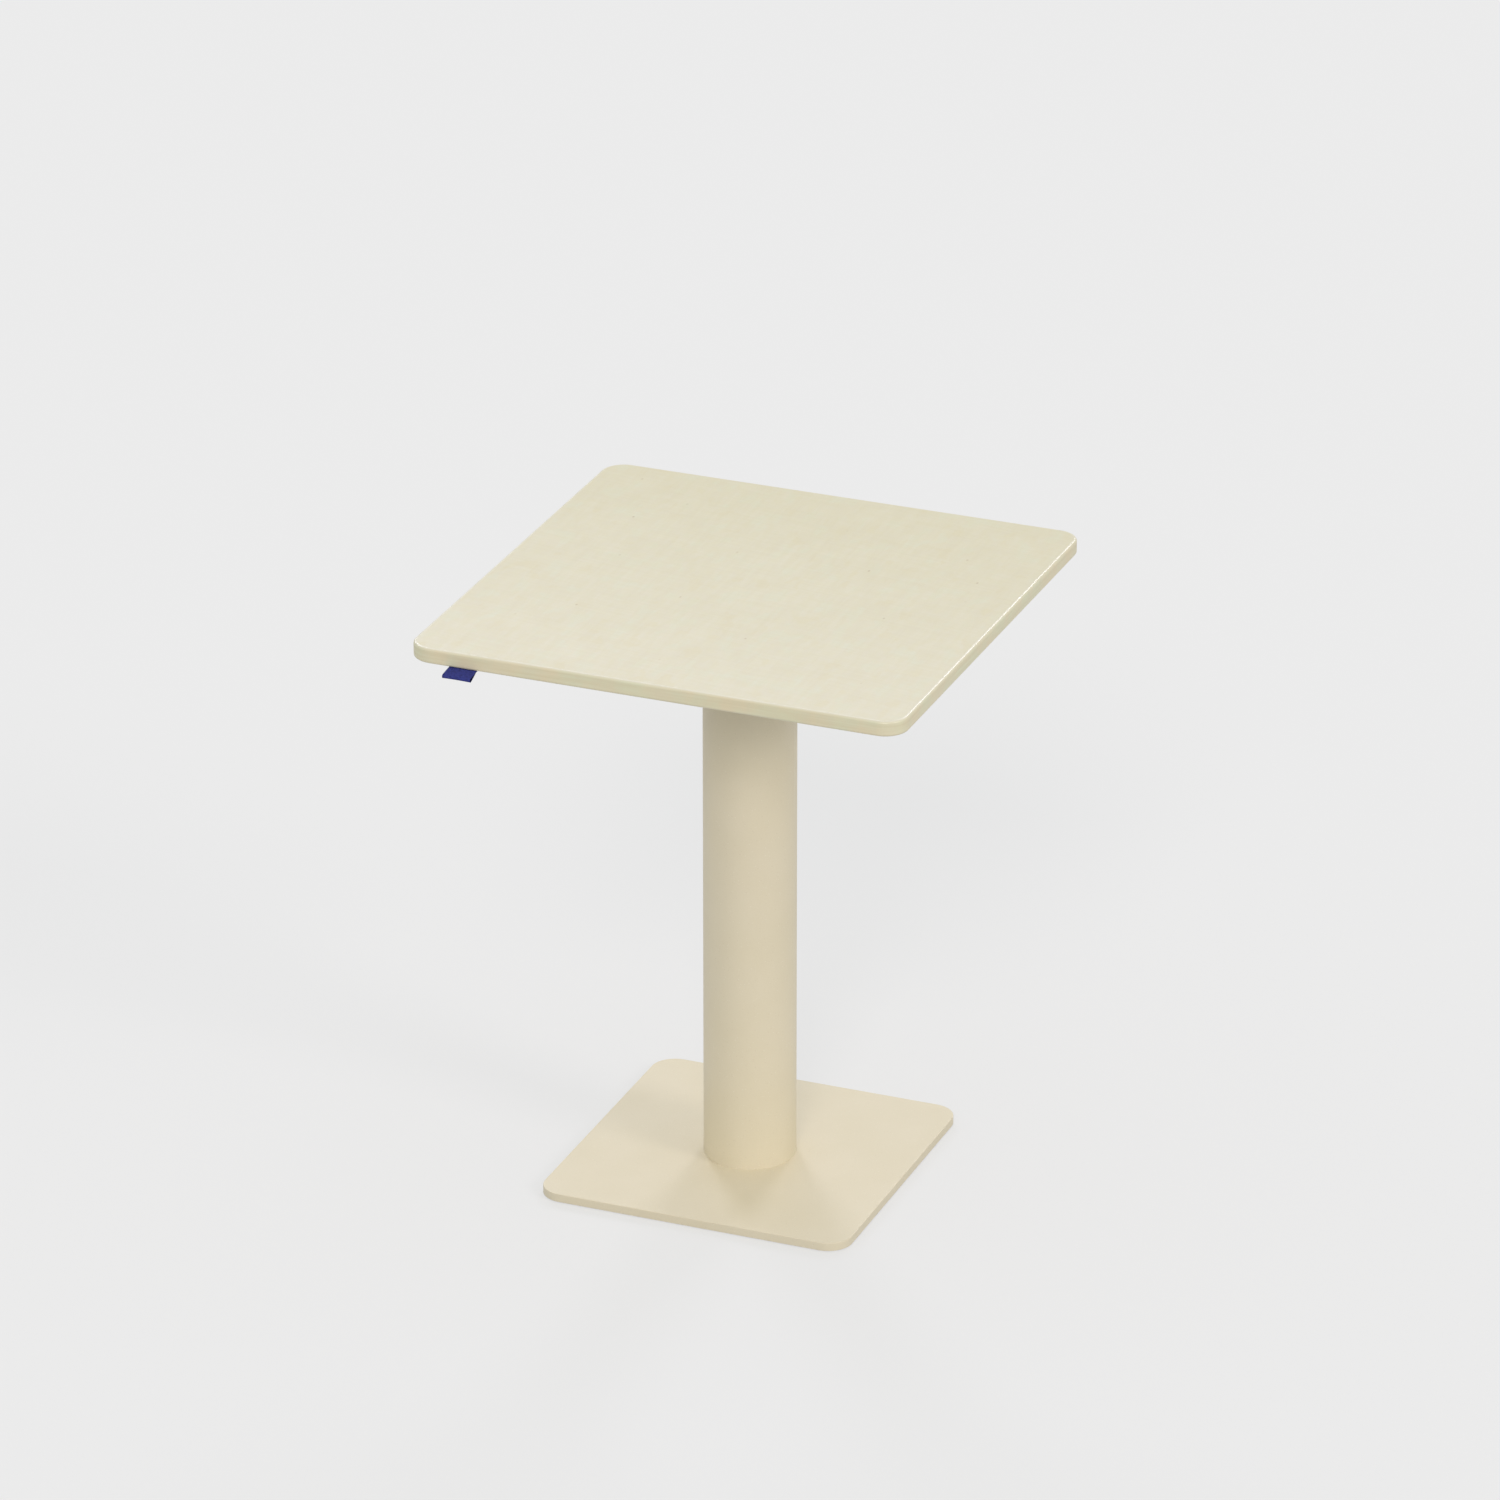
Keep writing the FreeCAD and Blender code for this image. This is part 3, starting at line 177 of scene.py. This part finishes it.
def birch_veneer():
    """Satin birch: soft fibres along Y, finer ripples across them, clouds, patches and a few small flecks."""
    f = Finish("birch_veneer_finish")
    cloud = f.span(f.noise(f.place((44.0, 18.0, 18.0)), detail=4.0, roughness=0.6), *FIRM)
    fibre = f.span(f.noise(f.place((190.0, 17.0, 17.0)), detail=4.0, roughness=0.6), *SOFT)
    ripple = f.span(f.noise(f.place((16.0, 240.0, 40.0), ASKEW), detail=3.0, roughness=0.6), *SOFT)
    patch = f.noise(f.place((38.0, 22.0, 22.0)), detail=3.0, roughness=0.55)
    mottle = f.span(f.noise(f.place((100.0, 60.0, 60.0)), detail=3.0), *FIRM, end=0.35)
    tone = f.layer(BIRCH, cloud, 0.19, BIRCH_CLOUD)
    tone = f.mix(f.span(patch, 0.54, 0.62, end=0.7), tone, BIRCH_COOL_PATCH)
    tone = f.mix(f.span(patch, 0.40, 0.34, end=0.4), tone, BIRCH_WARM_PATCH)
    tone = f.mix(mottle, tone, BIRCH_MOTTLE)
    tone = f.layer(tone, fibre, 0.12, BIRCH_FIBRE)
    tone = f.layer(tone, ripple, 0.13, BIRCH_RIPPLE)

    # One fleck in each cell, at its middle. The cell's own random colour says how dark the fleck is.
    leaf = f.place((9.0, 5.6, 1.0), ASKEW)
    fleck = f.span(f.cells(leaf, voronoi_dimensions="2D"), 0.005, 0.015, start=1.0, end=0.0)
    odd = f.add("SeparateColor", "Red", {"Color": f.cells(leaf, result="Color", voronoi_dimensions="2D")})
    depth = f.span(odd, 0.1, 0.9, start=0.15, end=0.65)
    tone = f.layer(tone, fleck, depth, BIRCH_FLECK)

    # Painted sheen and shade: lighter and whiter towards the front of the top, darker towards its back.
    tone = painted_sheen_drift(f, tone)
    rough = f.span(fibre, 0.0, 1.0, start=0.40, end=0.48)
    relief = f.bump(fibre, 20 * MICRON)
    f.look(Coat_Weight=0.15, Coat_Roughness=0.25)
    return f.look(Base_Color=tone, Roughness=rough, Normal=relief, IOR=1.5)


EDGE_COOL_PATCH = (0.715, 0.708, 0.505)
EDGE_WARM_PATCH = (0.761, 0.674, 0.475)
EDGE_FLAME = (0.700, 0.672, 0.497)
EDGE_STREAK = (0.655, 0.582, 0.386)


def birch_edge():
    """The wooden band round the board, with streaks and patches along it. Its arrises are sanded: they have
    no relief, they are glossier, and where they meet the top they take its tone."""
    f = Finish("birch_edge_finish")
    streak = f.span(f.noise(f.place((8.0, 8.0, 330.0)), detail=5.0, roughness=0.6), 0.40, 0.66)
    patch = f.span(f.noise(f.place((26.0, 26.0, 30.0)), detail=4.0), 0.40, 0.60)
    flame = f.span(f.noise(f.place((70.0, 70.0, 9.0)), detail=3.0), 0.45, 0.65)
    tone = f.mix(patch, EDGE_COOL_PATCH, EDGE_WARM_PATCH)
    tone = f.layer(tone, flame, 0.5, EDGE_FLAME)
    tone = f.layer(tone, streak, 0.5, EDGE_STREAK)

    # 0 on the upright face of the band, and 1 where an arris has turned level.
    up = f.math("ABSOLUTE", f.along("Z", f.add("TexCoord", "Normal")))
    # Where an arris turns level it takes the top's ground tone, with the top's painted sheen and shade.
    tone = f.mix(f.span(up, 0.55, 0.98), tone, painted_sheen_drift(f, BIRCH))
    rough = f.span(up, 0.1, 0.4, start=0.45, end=0.33)
    gloss = f.span(up, 0.1, 0.4, start=0.5, end=0.9)
    relief = f.bump(f.math("MULTIPLY", streak, f.span(up, 0.05, 0.25, start=1.0, end=0.0)), 30 * MICRON)
    return f.look(Base_Color=tone, Roughness=rough, Normal=relief, IOR=1.5, Specular_IOR_Level=gloss)


BACKING_LIGHT = (0.62, 0.55, 0.37)
BACKING_DARK = (0.54, 0.46, 0.30)


def backing_sheet():
    """The plainer sheet under the board, with its grain along X."""
    f = Finish("backing_sheet_finish")
    grain = f.span(f.noise(f.place((6.0, 300.0, 30.0)), detail=4.0), 0.4, 0.7)
    tone = f.mix(grain, BACKING_LIGHT, BACKING_DARK)
    return f.look(Base_Color=tone, Roughness=0.55, Normal=f.bump(grain, 30 * MICRON))


# A light ply and a dark one together.
PLY_PAIR = 2.8 * MM
PLY_LIGHT = (0.62, 0.47, 0.29)
PLY_DARK = (0.50, 0.35, 0.19)
PLY_GRAIN = (0.40, 0.27, 0.14)


def plywood_board():
    """Birch plywood: thin plies, light and dark by turns up the board."""
    f = Finish("plywood_board_finish")
    ply = f.math("SINE", f.math("MULTIPLY", f.along("Z", f.place()), math.tau / PLY_PAIR))
    grain = f.noise(f.place((60.0, 60.0, 500.0)), detail=3.0)
    tone = f.mix(f.span(ply, -0.3, 0.3), PLY_LIGHT, PLY_DARK)
    tone = f.mix(f.span(grain, *SOFT, end=0.4), tone, PLY_GRAIN)
    return f.look(Base_Color=tone, Roughness=0.7, Normal=f.bump(grain, 60 * MICRON))


CREAM_DARK = (0.736, 0.665, 0.489)
CREAM_LIGHT = (0.755, 0.684, 0.514)
CREAM_SPECKLE = (0.684, 0.603, 0.432)
DARK_SPECK = (0.510, 0.406, 0.281)
LIGHT_SPECK = (0.918, 0.874, 0.769)


def powder_coat():
    """Cream powder coat: matt, with a fine orange peel and a scatter of tiny dark and light specks."""
    f = Finish("cream_powder_coat_finish")
    peel = f.noise(f.place(), scale=900.0, detail=3.0, roughness=0.55)
    speckle = f.span(f.noise(f.place(), scale=700.0, detail=3.0, roughness=0.7), *SOFT)
    cloud = f.span(f.noise(f.place(), scale=14.0, detail=3.0), *FIRM)
    tone = f.mix(cloud, CREAM_DARK, CREAM_LIGHT)
    tone = f.layer(tone, speckle, 0.30, CREAM_SPECKLE)
    dark = f.span(f.cells(f.place(), scale=210.0), 0.06, 0.12, start=0.35, end=0.0)
    light = f.span(f.cells(f.place(turn=(0.7, 0.4, 1.1)), scale=190.0), 0.05, 0.11, start=0.5, end=0.0)
    tone = f.mix(dark, tone, DARK_SPECK)
    tone = f.mix(light, tone, LIGHT_SPECK)
    relief = f.bump(peel, 80 * MICRON, strength=0.6)
    return f.look(Base_Color=tone, Roughness=0.5, Normal=relief, IOR=1.5, Specular_IOR_Level=0.8)


def plastic(name, dark, light, roughness, relief):
    """A matt moulding with a spark-eroded grain."""
    f = Finish(name)
    grain = f.noise(f.place(), scale=1500.0, detail=2.0)
    cloud = f.span(f.noise(f.place(), scale=60.0, detail=2.0), *SOFT)
    tone = f.mix(cloud, dark, light)
    rough = f.span(grain, *SOFT, start=roughness - 0.05, end=roughness + 0.05)
    return f.look(Base_Color=tone, Roughness=rough, Normal=f.bump(grain, relief), IOR=1.48)


def cream_plastic():
    dark, light = (0.64, 0.58, 0.43), (0.67, 0.61, 0.46)
    return plastic("cream_plastic_finish", dark, light, roughness=0.45, relief=30 * MICRON)


def grey_plastic():
    dark, light = (0.155, 0.155, 0.15), (0.18, 0.18, 0.175)
    return plastic("grey_plastic_finish", dark, light, roughness=0.5, relief=30 * MICRON)


def black_plastic():
    dark, light = (0.012, 0.012, 0.013), (0.02, 0.02, 0.021)
    return plastic("black_plastic_finish", dark, light, roughness=0.5, relief=60 * MICRON)


RUBBER = (0.012, 0.012, 0.012)
RUBBER_DUST = (0.03, 0.03, 0.029)


def black_rubber():
    """Matt rubber with a bloom of dust in its pores."""
    f = Finish("black_rubber_finish")
    pores = f.noise(f.place(), scale=1100.0, detail=3.0)
    bloom = f.span(f.noise(f.place(), scale=90.0, detail=4.0), 0.4, 0.75)
    tone = f.mix(bloom, RUBBER, RUBBER_DUST)
    return f.look(Base_Color=tone, Roughness=0.8, Normal=f.bump(pores, 50 * MICRON), Specular_IOR_Level=0.3)


LACQUER_DARK = (0.010, 0.010, 0.011)
LACQUER_LIGHT = (0.016, 0.016, 0.018)


def black_lacquer():
    """Black lacquer with a clear coat and a faint orange peel."""
    f = Finish("black_lacquer_finish")
    peel = f.noise(f.place(), scale=420.0, detail=2.0)
    tone = f.mix(f.span(peel, *SOFT), LACQUER_DARK, LACQUER_LIGHT)
    relief = f.bump(peel, 40 * MICRON)
    return f.look(Base_Color=tone, Roughness=0.3, Normal=relief, Coat_Weight=0.3, Coat_Roughness=0.15)


def steel(name, dark, light, roughness, mark_scale, relief):
    """Bare or plated steel, with fine tool marks and uneven sheen."""
    f = Finish(name, Metallic=1.0)
    marks = f.noise(f.place(), scale=mark_scale, detail=4.0, roughness=0.6)
    cloud = f.span(f.noise(f.place(), scale=110.0, detail=3.0), *SOFT)
    tone = f.mix(cloud, dark, light)
    rough = f.span(marks, *SOFT, start=roughness - 0.08, end=roughness + 0.08)
    return f.look(Base_Color=tone, Roughness=rough, Normal=f.bump(marks, relief))


def bare_steel():
    dark, light = (0.20, 0.20, 0.205), (0.27, 0.27, 0.275)
    return steel("bare_steel_finish", dark, light, roughness=0.48, mark_scale=900.0, relief=30 * MICRON)


def zinc_steel():
    dark, light = (0.56, 0.58, 0.62), (0.68, 0.69, 0.70)
    return steel("zinc_steel_finish", dark, light, roughness=0.3, mark_scale=1300.0, relief=20 * MICRON)


CHROME_DARK = (0.60, 0.60, 0.62)
CHROME_LIGHT = (0.66, 0.66, 0.68)


def chrome_rod():
    """Ground chrome: marks that run round the rod."""
    f = Finish("chrome_rod_finish", Metallic=1.0)
    marks = f.noise(f.place((200.0, 200.0, 4000.0)), detail=3.0)
    rough = f.span(marks, *SOFT, start=0.06, end=0.14)
    tone = f.mix(f.span(marks, *SOFT), CHROME_DARK, CHROME_LIGHT)
    return f.look(Base_Color=tone, Roughness=rough, Normal=f.bump(marks, 5 * MICRON))


WEFT_PITCH = 0.5 * MM
WARP_PITCH = 0.4 * MM
NAVY_DARK = (0.033, 0.040, 0.205)
NAVY_LIGHT = (0.058, 0.070, 0.318)
NAVY_FUZZ = (0.024, 0.028, 0.138)
NAVY_WORN = (0.022, 0.025, 0.120)
NAVY_INNER_SHADE = (0.006, 0.007, 0.030)

# The UVs of the ribbon's inner face lie this much further across than those of its outer face.
INSIDE = 1.0


def navy_ribbon():
    """Woven polyester: weft ribs across the ribbon, crossed by finer warp threads. The pattern runs on its
    UVs, in metres. The inner face of the fold is painted much darker, as painted shade inside the loop."""
    f = Finish("navy_ribbon_finish")
    run = f.along("Y", f.add("UVMap", "UV"))
    across = f.along("X", f.add("UVMap", "UV"))
    inner = f.math("GREATER_THAN", across, INSIDE / 2)
    weft = f.math("SINE", f.math("MULTIPLY", run, math.tau / WEFT_PITCH))
    warp = f.math("SINE", f.math("MULTIPLY", across, math.tau / WARP_PITCH))
    thread = f.span(f.math("MULTIPLY", weft, warp), -1.0, 1.0)
    fuzz = f.noise(f.place(), scale=900.0, detail=4.0)
    worn = f.noise(f.place((300.0, 420.0, 420.0)), detail=2.0)
    tone = f.mix(thread, NAVY_DARK, NAVY_LIGHT)
    tone = f.mix(f.span(fuzz, 0.42, 0.68, end=0.5), tone, NAVY_FUZZ)
    tone = f.mix(f.span(worn, 0.48, 0.64, end=0.6), tone, NAVY_WORN)
    # Painted shade: the inner face of the loop is painted almost black.
    tone = f.layer(tone, inner, 0.85, NAVY_INNER_SHADE)
    relief = f.bump(thread, 100 * MICRON, under=f.bump(fuzz, 60 * MICRON))
    return f.look(Base_Color=tone, Roughness=0.85, Normal=relief, Specular_IOR_Level=0.15)


FINISHES = {
    "birch_veneer": birch_veneer,
    "birch_edge": birch_edge,
    "backing_sheet": backing_sheet,
    "board": plywood_board,
    "cream_powder_coat": powder_coat,
    "cream_plastic": cream_plastic,
    "grey_plastic": grey_plastic,
    "black_plastic": black_plastic,
    "black_rubber": black_rubber,
    "black_lacquer": black_lacquer,
    "bare_steel": bare_steel,
    "zinc_steel": zinc_steel,
    "chrome_rod": chrome_rod,
    "navy_ribbon": navy_ribbon,
}


def dress_nodes():
    """Each CAD node's own slots take the finish that the record names for them."""
    made = {}
    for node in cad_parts.values():
        for place in node.material_slots:
            name = place.material.name
            if name not in made:
                made[name] = FINISHES[name]()
            place.material = made[name]
    return made


# ---------------------------------------------------------------- meshes


def swept_band(name, rows, finish, uv=None, closed=False):
    """A smooth mesh from rows of points: each row is joined to the next, and each row closes on itself.
    closed joins the last row to the first. Otherwise the two end rows are capped with quads across them."""
    mesh = bmesh.new()
    layer = mesh.loops.layers.uv.new("UVMap")
    verts = [[mesh.verts.new(point) for point in row] for row in rows]
    count = len(rows[0])

    def face(corners):
        made = mesh.faces.new([verts[i % len(rows)][k % count] for i, k in corners])
        made.smooth = True
        for loop, (i, k) in zip(made.loops, corners):
            loop[layer].uv = uv[i % len(rows)][k % count] if uv else (i, k)

    for i in range(len(rows) if closed else len(rows) - 1):
        for k in range(count):
            face([(i, k), (i, k + 1), (i + 1, k + 1), (i + 1, k)])
    if not closed:
        for i in (0, len(rows) - 1):
            for k in range(count // 2 - 1):
                face([(i, k), (i, k + 1), (i, count - 2 - k), (i, count - 1 - k)])
    bmesh.ops.recalc_face_normals(mesh, faces=mesh.faces)
    data = bpy.data.meshes.new(name)
    mesh.to_mesh(data)
    mesh.free()
    data.materials.append(finish)
    piece = bpy.data.objects.new(name, data)
    bpy.context.scene.collection.objects.link(piece)
    return piece


def spaced(line, step):
    """The same line with points at about even steps."""
    points = [line[0]]
    for start, end in zip(line, line[1:]):
        count = max(1, round((end - start).length / step))
        points += [start.lerp(end, (k + 1) / count) for k in range(count)]
    return points


# ---------------------------------------------------------------- the woven tag


# The ribbon is thinner between its selvedges, to MIDDLE_SHARE of its thickness.
RIBBON = 0.5 * MM
SELVEDGE = 1.3 * MM
MIDDLE_SHARE = 0.78

# The tag bows up in its middle, and its right-hand end leans out of line by TAG_LEAN (y, z). Both grow from
# nothing at the table's edge to their full size at TAG_FREE beyond it.
TAG_FOLD = 2.4 * MM
TAG_BOW = 0.3 * MM
TAG_LEAN = Vector((0.9 * MM, -0.6 * MM))
TAG_FREE = 8 * MM

# How finely the ribbon's mesh is cut: along it, across it and round its fold.
RIBBON_STEP = 0.5 * MM
RIBBON_COLUMNS = 44
FOLD_STEPS = 16


def ribbon_side(low, high):
    """The folded ribbon's middle line in side view (y, z), from the back end of its upper layer to that of
    its lower one."""
    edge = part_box("edge_band")[0].y
    upper = high.z - RIBBON / 2
    lower = upper - RIBBON
    middle = Vector((low.y + TAG_FOLD, low.z + TAG_FOLD))
    radius = TAG_FOLD - RIBBON / 2
    turns = [math.pi * k / FOLD_STEPS for k in range(FOLD_STEPS + 1)]
    fold = [middle + radius * Vector((-math.sin(turn), math.cos(turn))) for turn in turns]
    out = [Vector((high.y, upper)), Vector((edge, upper))]
    back = [Vector((edge, lower)), Vector((high.y, lower))]
    return out + fold + back


def ribbon_depth(x, low, high):
    """Half the ribbon's thickness at that place across it: full at the selvedges, thinner between them."""
    rim = min(x - low.x, high.x - x)
    return RIBBON / 2 * (1.0 if rim < SELVEDGE else MIDDLE_SHARE)


def woven_tag(finish):
    """The tag: one ribbon, folded once into an open loop, its ends stapled under the top. Its face is bare,
    and its right-hand end hangs a little lower."""
    low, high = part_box("fabric_tag")
    line = spaced(ribbon_side(low, high), RIBBON_STEP)
    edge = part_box("edge_band")[0].y
    width = high.x - low.x
    across = [low.x + width * k / RIBBON_COLUMNS for k in range(RIBBON_COLUMNS + 1)]
    rows, uv, run = [], [], 0.0
    for i, point in enumerate(line):
        behind, ahead = line[max(i - 1, 0)], line[min(i + 1, len(line) - 1)]
        run += (point - line[i - 1]).length if i else 0.0
        along = (ahead - behind).normalized()
        inward = Vector((-along.y, along.x))
        free = min(1.0, max(0.0, (edge - point.x) / TAG_FREE))
        row, spots = [], []
        for side, places in ((1, across), (-1, across[::-1])):
            for x in places:
                share = (x - low.x) / width
                bow = Vector((0.0, TAG_BOW * math.sin(math.pi * share)))
                spot = point + inward * side * ribbon_depth(x, low, high) + (bow + TAG_LEAN * share) * free
                row.append((x, spot.x, spot.y))
                spots.append((share * width + (INSIDE if side == 1 else 0.0), run))
        rows.append(row)
        uv.append(spots)
    tag = swept_band("woven_tag", rows, finish, uv)
    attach(tag, "lift")
    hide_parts("fabric_tag")


# ---------------------------------------------------------------- welds


# The bead's ripples follow each other round the tube, with a slower wave of the hand under them. Both swell
# its leg by a share.
WELD_LEG = 4.5 * MM
WELD_RIPPLES = 46
RIPPLE_STEPS = 6
RIPPLE_SWELL = 0.05
HAND_SWELL = 0.03
HAND_WAVES = 5

# The bead's section: how far it reaches into the tube and into the plate, how much fuller than a quarter
# circle its hollow face is, and the angles of the points along that face.
WELD_IN_TUBE = 0.3 * MM
WELD_IN_PLATE = 0.25 * MM
WELD_FULLNESS = 0.12 * MM
WELD_FACE = (0.35, 0.7, 1.05, 1.4)


def weld_bead(name, radius, level, finish, body):
    """A fillet weld round a tube under a plate: a hollow-faced bead with the fine ripples of its passes, and
    the slower swell of the hand that laid it."""
    rows = []
    steps = WELD_RIPPLES * RIPPLE_STEPS
    for i in range(steps):
        turn = math.tau * i / steps
        ripple = RIPPLE_SWELL * abs(math.sin(turn * WELD_RIPPLES / 2))
        leg = WELD_LEG * (1.0 + ripple + HAND_SWELL * math.sin(turn * HAND_WAVES))
        ring = [(-WELD_IN_TUBE, WELD_IN_PLATE), (leg, WELD_IN_PLATE), (leg, 0.0)]
        for angle in WELD_FACE:
            beside = leg * (1 - math.sin(angle)) + WELD_FULLNESS
            below = leg * (1 - math.cos(angle)) + WELD_FULLNESS
            ring.append((beside, -below))
        ring += [(0.0, -leg), (-WELD_IN_TUBE, -leg)]
        x, y = math.cos(turn), math.sin(turn)
        rows.append([(x * (radius + out), y * (radius + out), level + up) for out, up in ring])
    bead = swept_band(name, rows, finish, closed=True)
    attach(bead, body)


# ---------------------------------------------------------------- floor, light and camera


# PALE is the level of the plain background. Of what is seen of the floor, FLOOR_SHADOW is lit and shaded and
# the rest is plain. FLOOR_BOUNCE is what the floor throws back on the table.
PALE = 0.829
FLOOR_SIDE = 80.0
FLOOR_DROP = 0.2 * MM
FLOOR_SHADOW = 0.365
FLOOR_BOUNCE = 0.55


def floor_material():
    """Pale floor. What the camera, gloss or glass sees of it is mostly the plain background, with a soft
    shadow. It can't be seen from below."""
    f = Finish("floor_finish", Roughness=1.0, Specular_IOR_Level=0.0)
    rays = f.tree.nodes.new("ShaderNodeLightPath").outputs
    seen = f.math("MAXIMUM", rays["Is Camera Ray"], rays["Is Glossy Ray"])
    seen = f.math("MAXIMUM", seen, rays["Is Transmission Ray"])
    f.look(Base_Color=f.mix(seen, (FLOOR_BOUNCE,) * 3, (PALE,) * 3))
    plain = f.add("Emission", sockets={"Color": (PALE,) * 3})
    flat = f.math("MULTIPLY", seen, 1.0 - FLOOR_SHADOW)
    shown = f.add("MixShader", sockets={0: flat, 1: f.shader.outputs[0], 2: plain})
    below = f.add("NewGeometry", "Backfacing")
    surface = f.add("MixShader", sockets={0: below, 1: shown, 2: f.add("BsdfTransparent")})
    f.tree.links.new(surface, f.output.inputs["Surface"])
    return f.material


def make_floor():
    """The floor lies a hair under the glides, so that the two never share a plane."""
    half = FLOOR_SIDE / 2
    corners = [(x, y, -FLOOR_DROP) for x, y in ((-half, -half), (half, -half), (half, half), (-half, half))]
    data = bpy.data.meshes.new("floor")
    data.from_pydata(corners, [], [(0, 1, 2, 3)])
    data.materials.append(floor_material())
    floor = bpy.data.objects.new("floor", data)
    bpy.context.scene.collection.objects.link(floor)


WORLD_LEVEL = 0.65
WORLD_TINT = (0.99, 1.01, 1.00)


def make_world():
    """Even soft light from all round, with the plain background where it is seen."""
    world = bpy.data.worlds.new("studio")
    bpy.context.scene.world = world
    world.use_nodes = True
    nodes, links = world.node_tree.nodes, world.node_tree.links
    nodes.clear()
    output = nodes.new("ShaderNodeOutputWorld")
    light = nodes.new("ShaderNodeBackground")
    light.inputs["Color"].default_value = (*WORLD_TINT, 1.0)
    light.inputs["Strength"].default_value = WORLD_LEVEL
    seen = nodes.new("ShaderNodeBackground")
    seen.inputs["Color"].default_value = (PALE, PALE, PALE, 1.0)
    rays = nodes.new("ShaderNodeLightPath")
    mix = nodes.new("ShaderNodeMixShader")
    links.new(rays.outputs["Is Camera Ray"], mix.inputs["Fac"])
    links.new(light.outputs[0], mix.inputs[1])
    links.new(seen.outputs[0], mix.inputs[2])
    links.new(mix.outputs[0], output.inputs["Surface"])


# Distant soft lamps: where each stands round the table, its height and its width in degrees, its strength and
# its slight tint. An azimuth of 0 is in front of the table, and 90 is to its right.
WARM_LIGHT = (1.05, 0.985, 0.96)
COOL_LIGHT = (0.95, 0.95, 1.05)
LAMPS = {
    "front": {"azimuth": 15.0, "elevation": 35.0, "width": 18.0, "strength": 0.78, "tint": WARM_LIGHT},
    "right": {"azimuth": 75.0, "elevation": 28.0, "width": 18.0, "strength": 0.60, "tint": WARM_LIGHT},
    "back": {"azimuth": -178.0, "elevation": 30.0, "width": 14.0, "strength": 0.45, "tint": COOL_LIGHT},
    "back_left": {"azimuth": -142.0, "elevation": 30.0, "width": 14.0, "strength": 0.42, "tint": COOL_LIGHT},
}


def direction(azimuth, elevation):
    """Unit vector from the table towards that azimuth and elevation, in degrees."""
    a, e = math.radians(azimuth), math.radians(elevation)
    return Vector((math.sin(a) * math.cos(e), -math.cos(a) * math.cos(e), math.sin(e)))


def make_lamps():
    for name, lamp in LAMPS.items():
        data = bpy.data.lights.new("lamp_" + name, "SUN")
        data.angle = math.radians(lamp["width"])
        data.energy = lamp["strength"]
        data.color = lamp["tint"]
        sun = bpy.data.objects.new("lamp_" + name, data)
        towards = direction(lamp["azimuth"], lamp["elevation"])
        sun.rotation_euler = (-towards).to_track_quat("-Z", "Y").to_euler()
        bpy.context.scene.collection.objects.link(sun)


# The camera as fitted to the photo's edge lines. The lens and the sensor are in millimetres.
CAMERA_AZIMUTH = 21.9425
CAMERA_ELEVATION = 24.0071
CAMERA_DISTANCE = 9.6486
CAMERA_LENS = 199.38
CAMERA_SENSOR = 36.0
CAMERA_REACH = 100.0
CAMERA_AIM = Vector((0.0, 0.0, 0.5291))


def make_camera():
    data = bpy.data.cameras.new("camera")
    data.sensor_width = CAMERA_SENSOR
    data.lens = CAMERA_LENS
    data.clip_end = CAMERA_REACH
    camera = bpy.data.objects.new("camera", data)
    back = direction(CAMERA_AZIMUTH, CAMERA_ELEVATION)
    camera.location = CAMERA_AIM + back * CAMERA_DISTANCE
    camera.rotation_euler = (-back).to_track_quat("-Z", "Y").to_euler()
    bpy.context.scene.collection.objects.link(camera)
    bpy.context.scene.camera = camera


finishes = dress_nodes()
woven_tag(finishes["navy_ribbon"])
tube_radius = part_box("inner_tube")[1].x
plate_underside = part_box("mounting_plate")[0].z
weld_bead("plate_weld", tube_radius, plate_underside, finishes["cream_powder_coat"], "lift")
make_floor()
make_world()
make_lamps()
make_camera()
bpy.context.scene.view_settings.view_transform = "Standard"
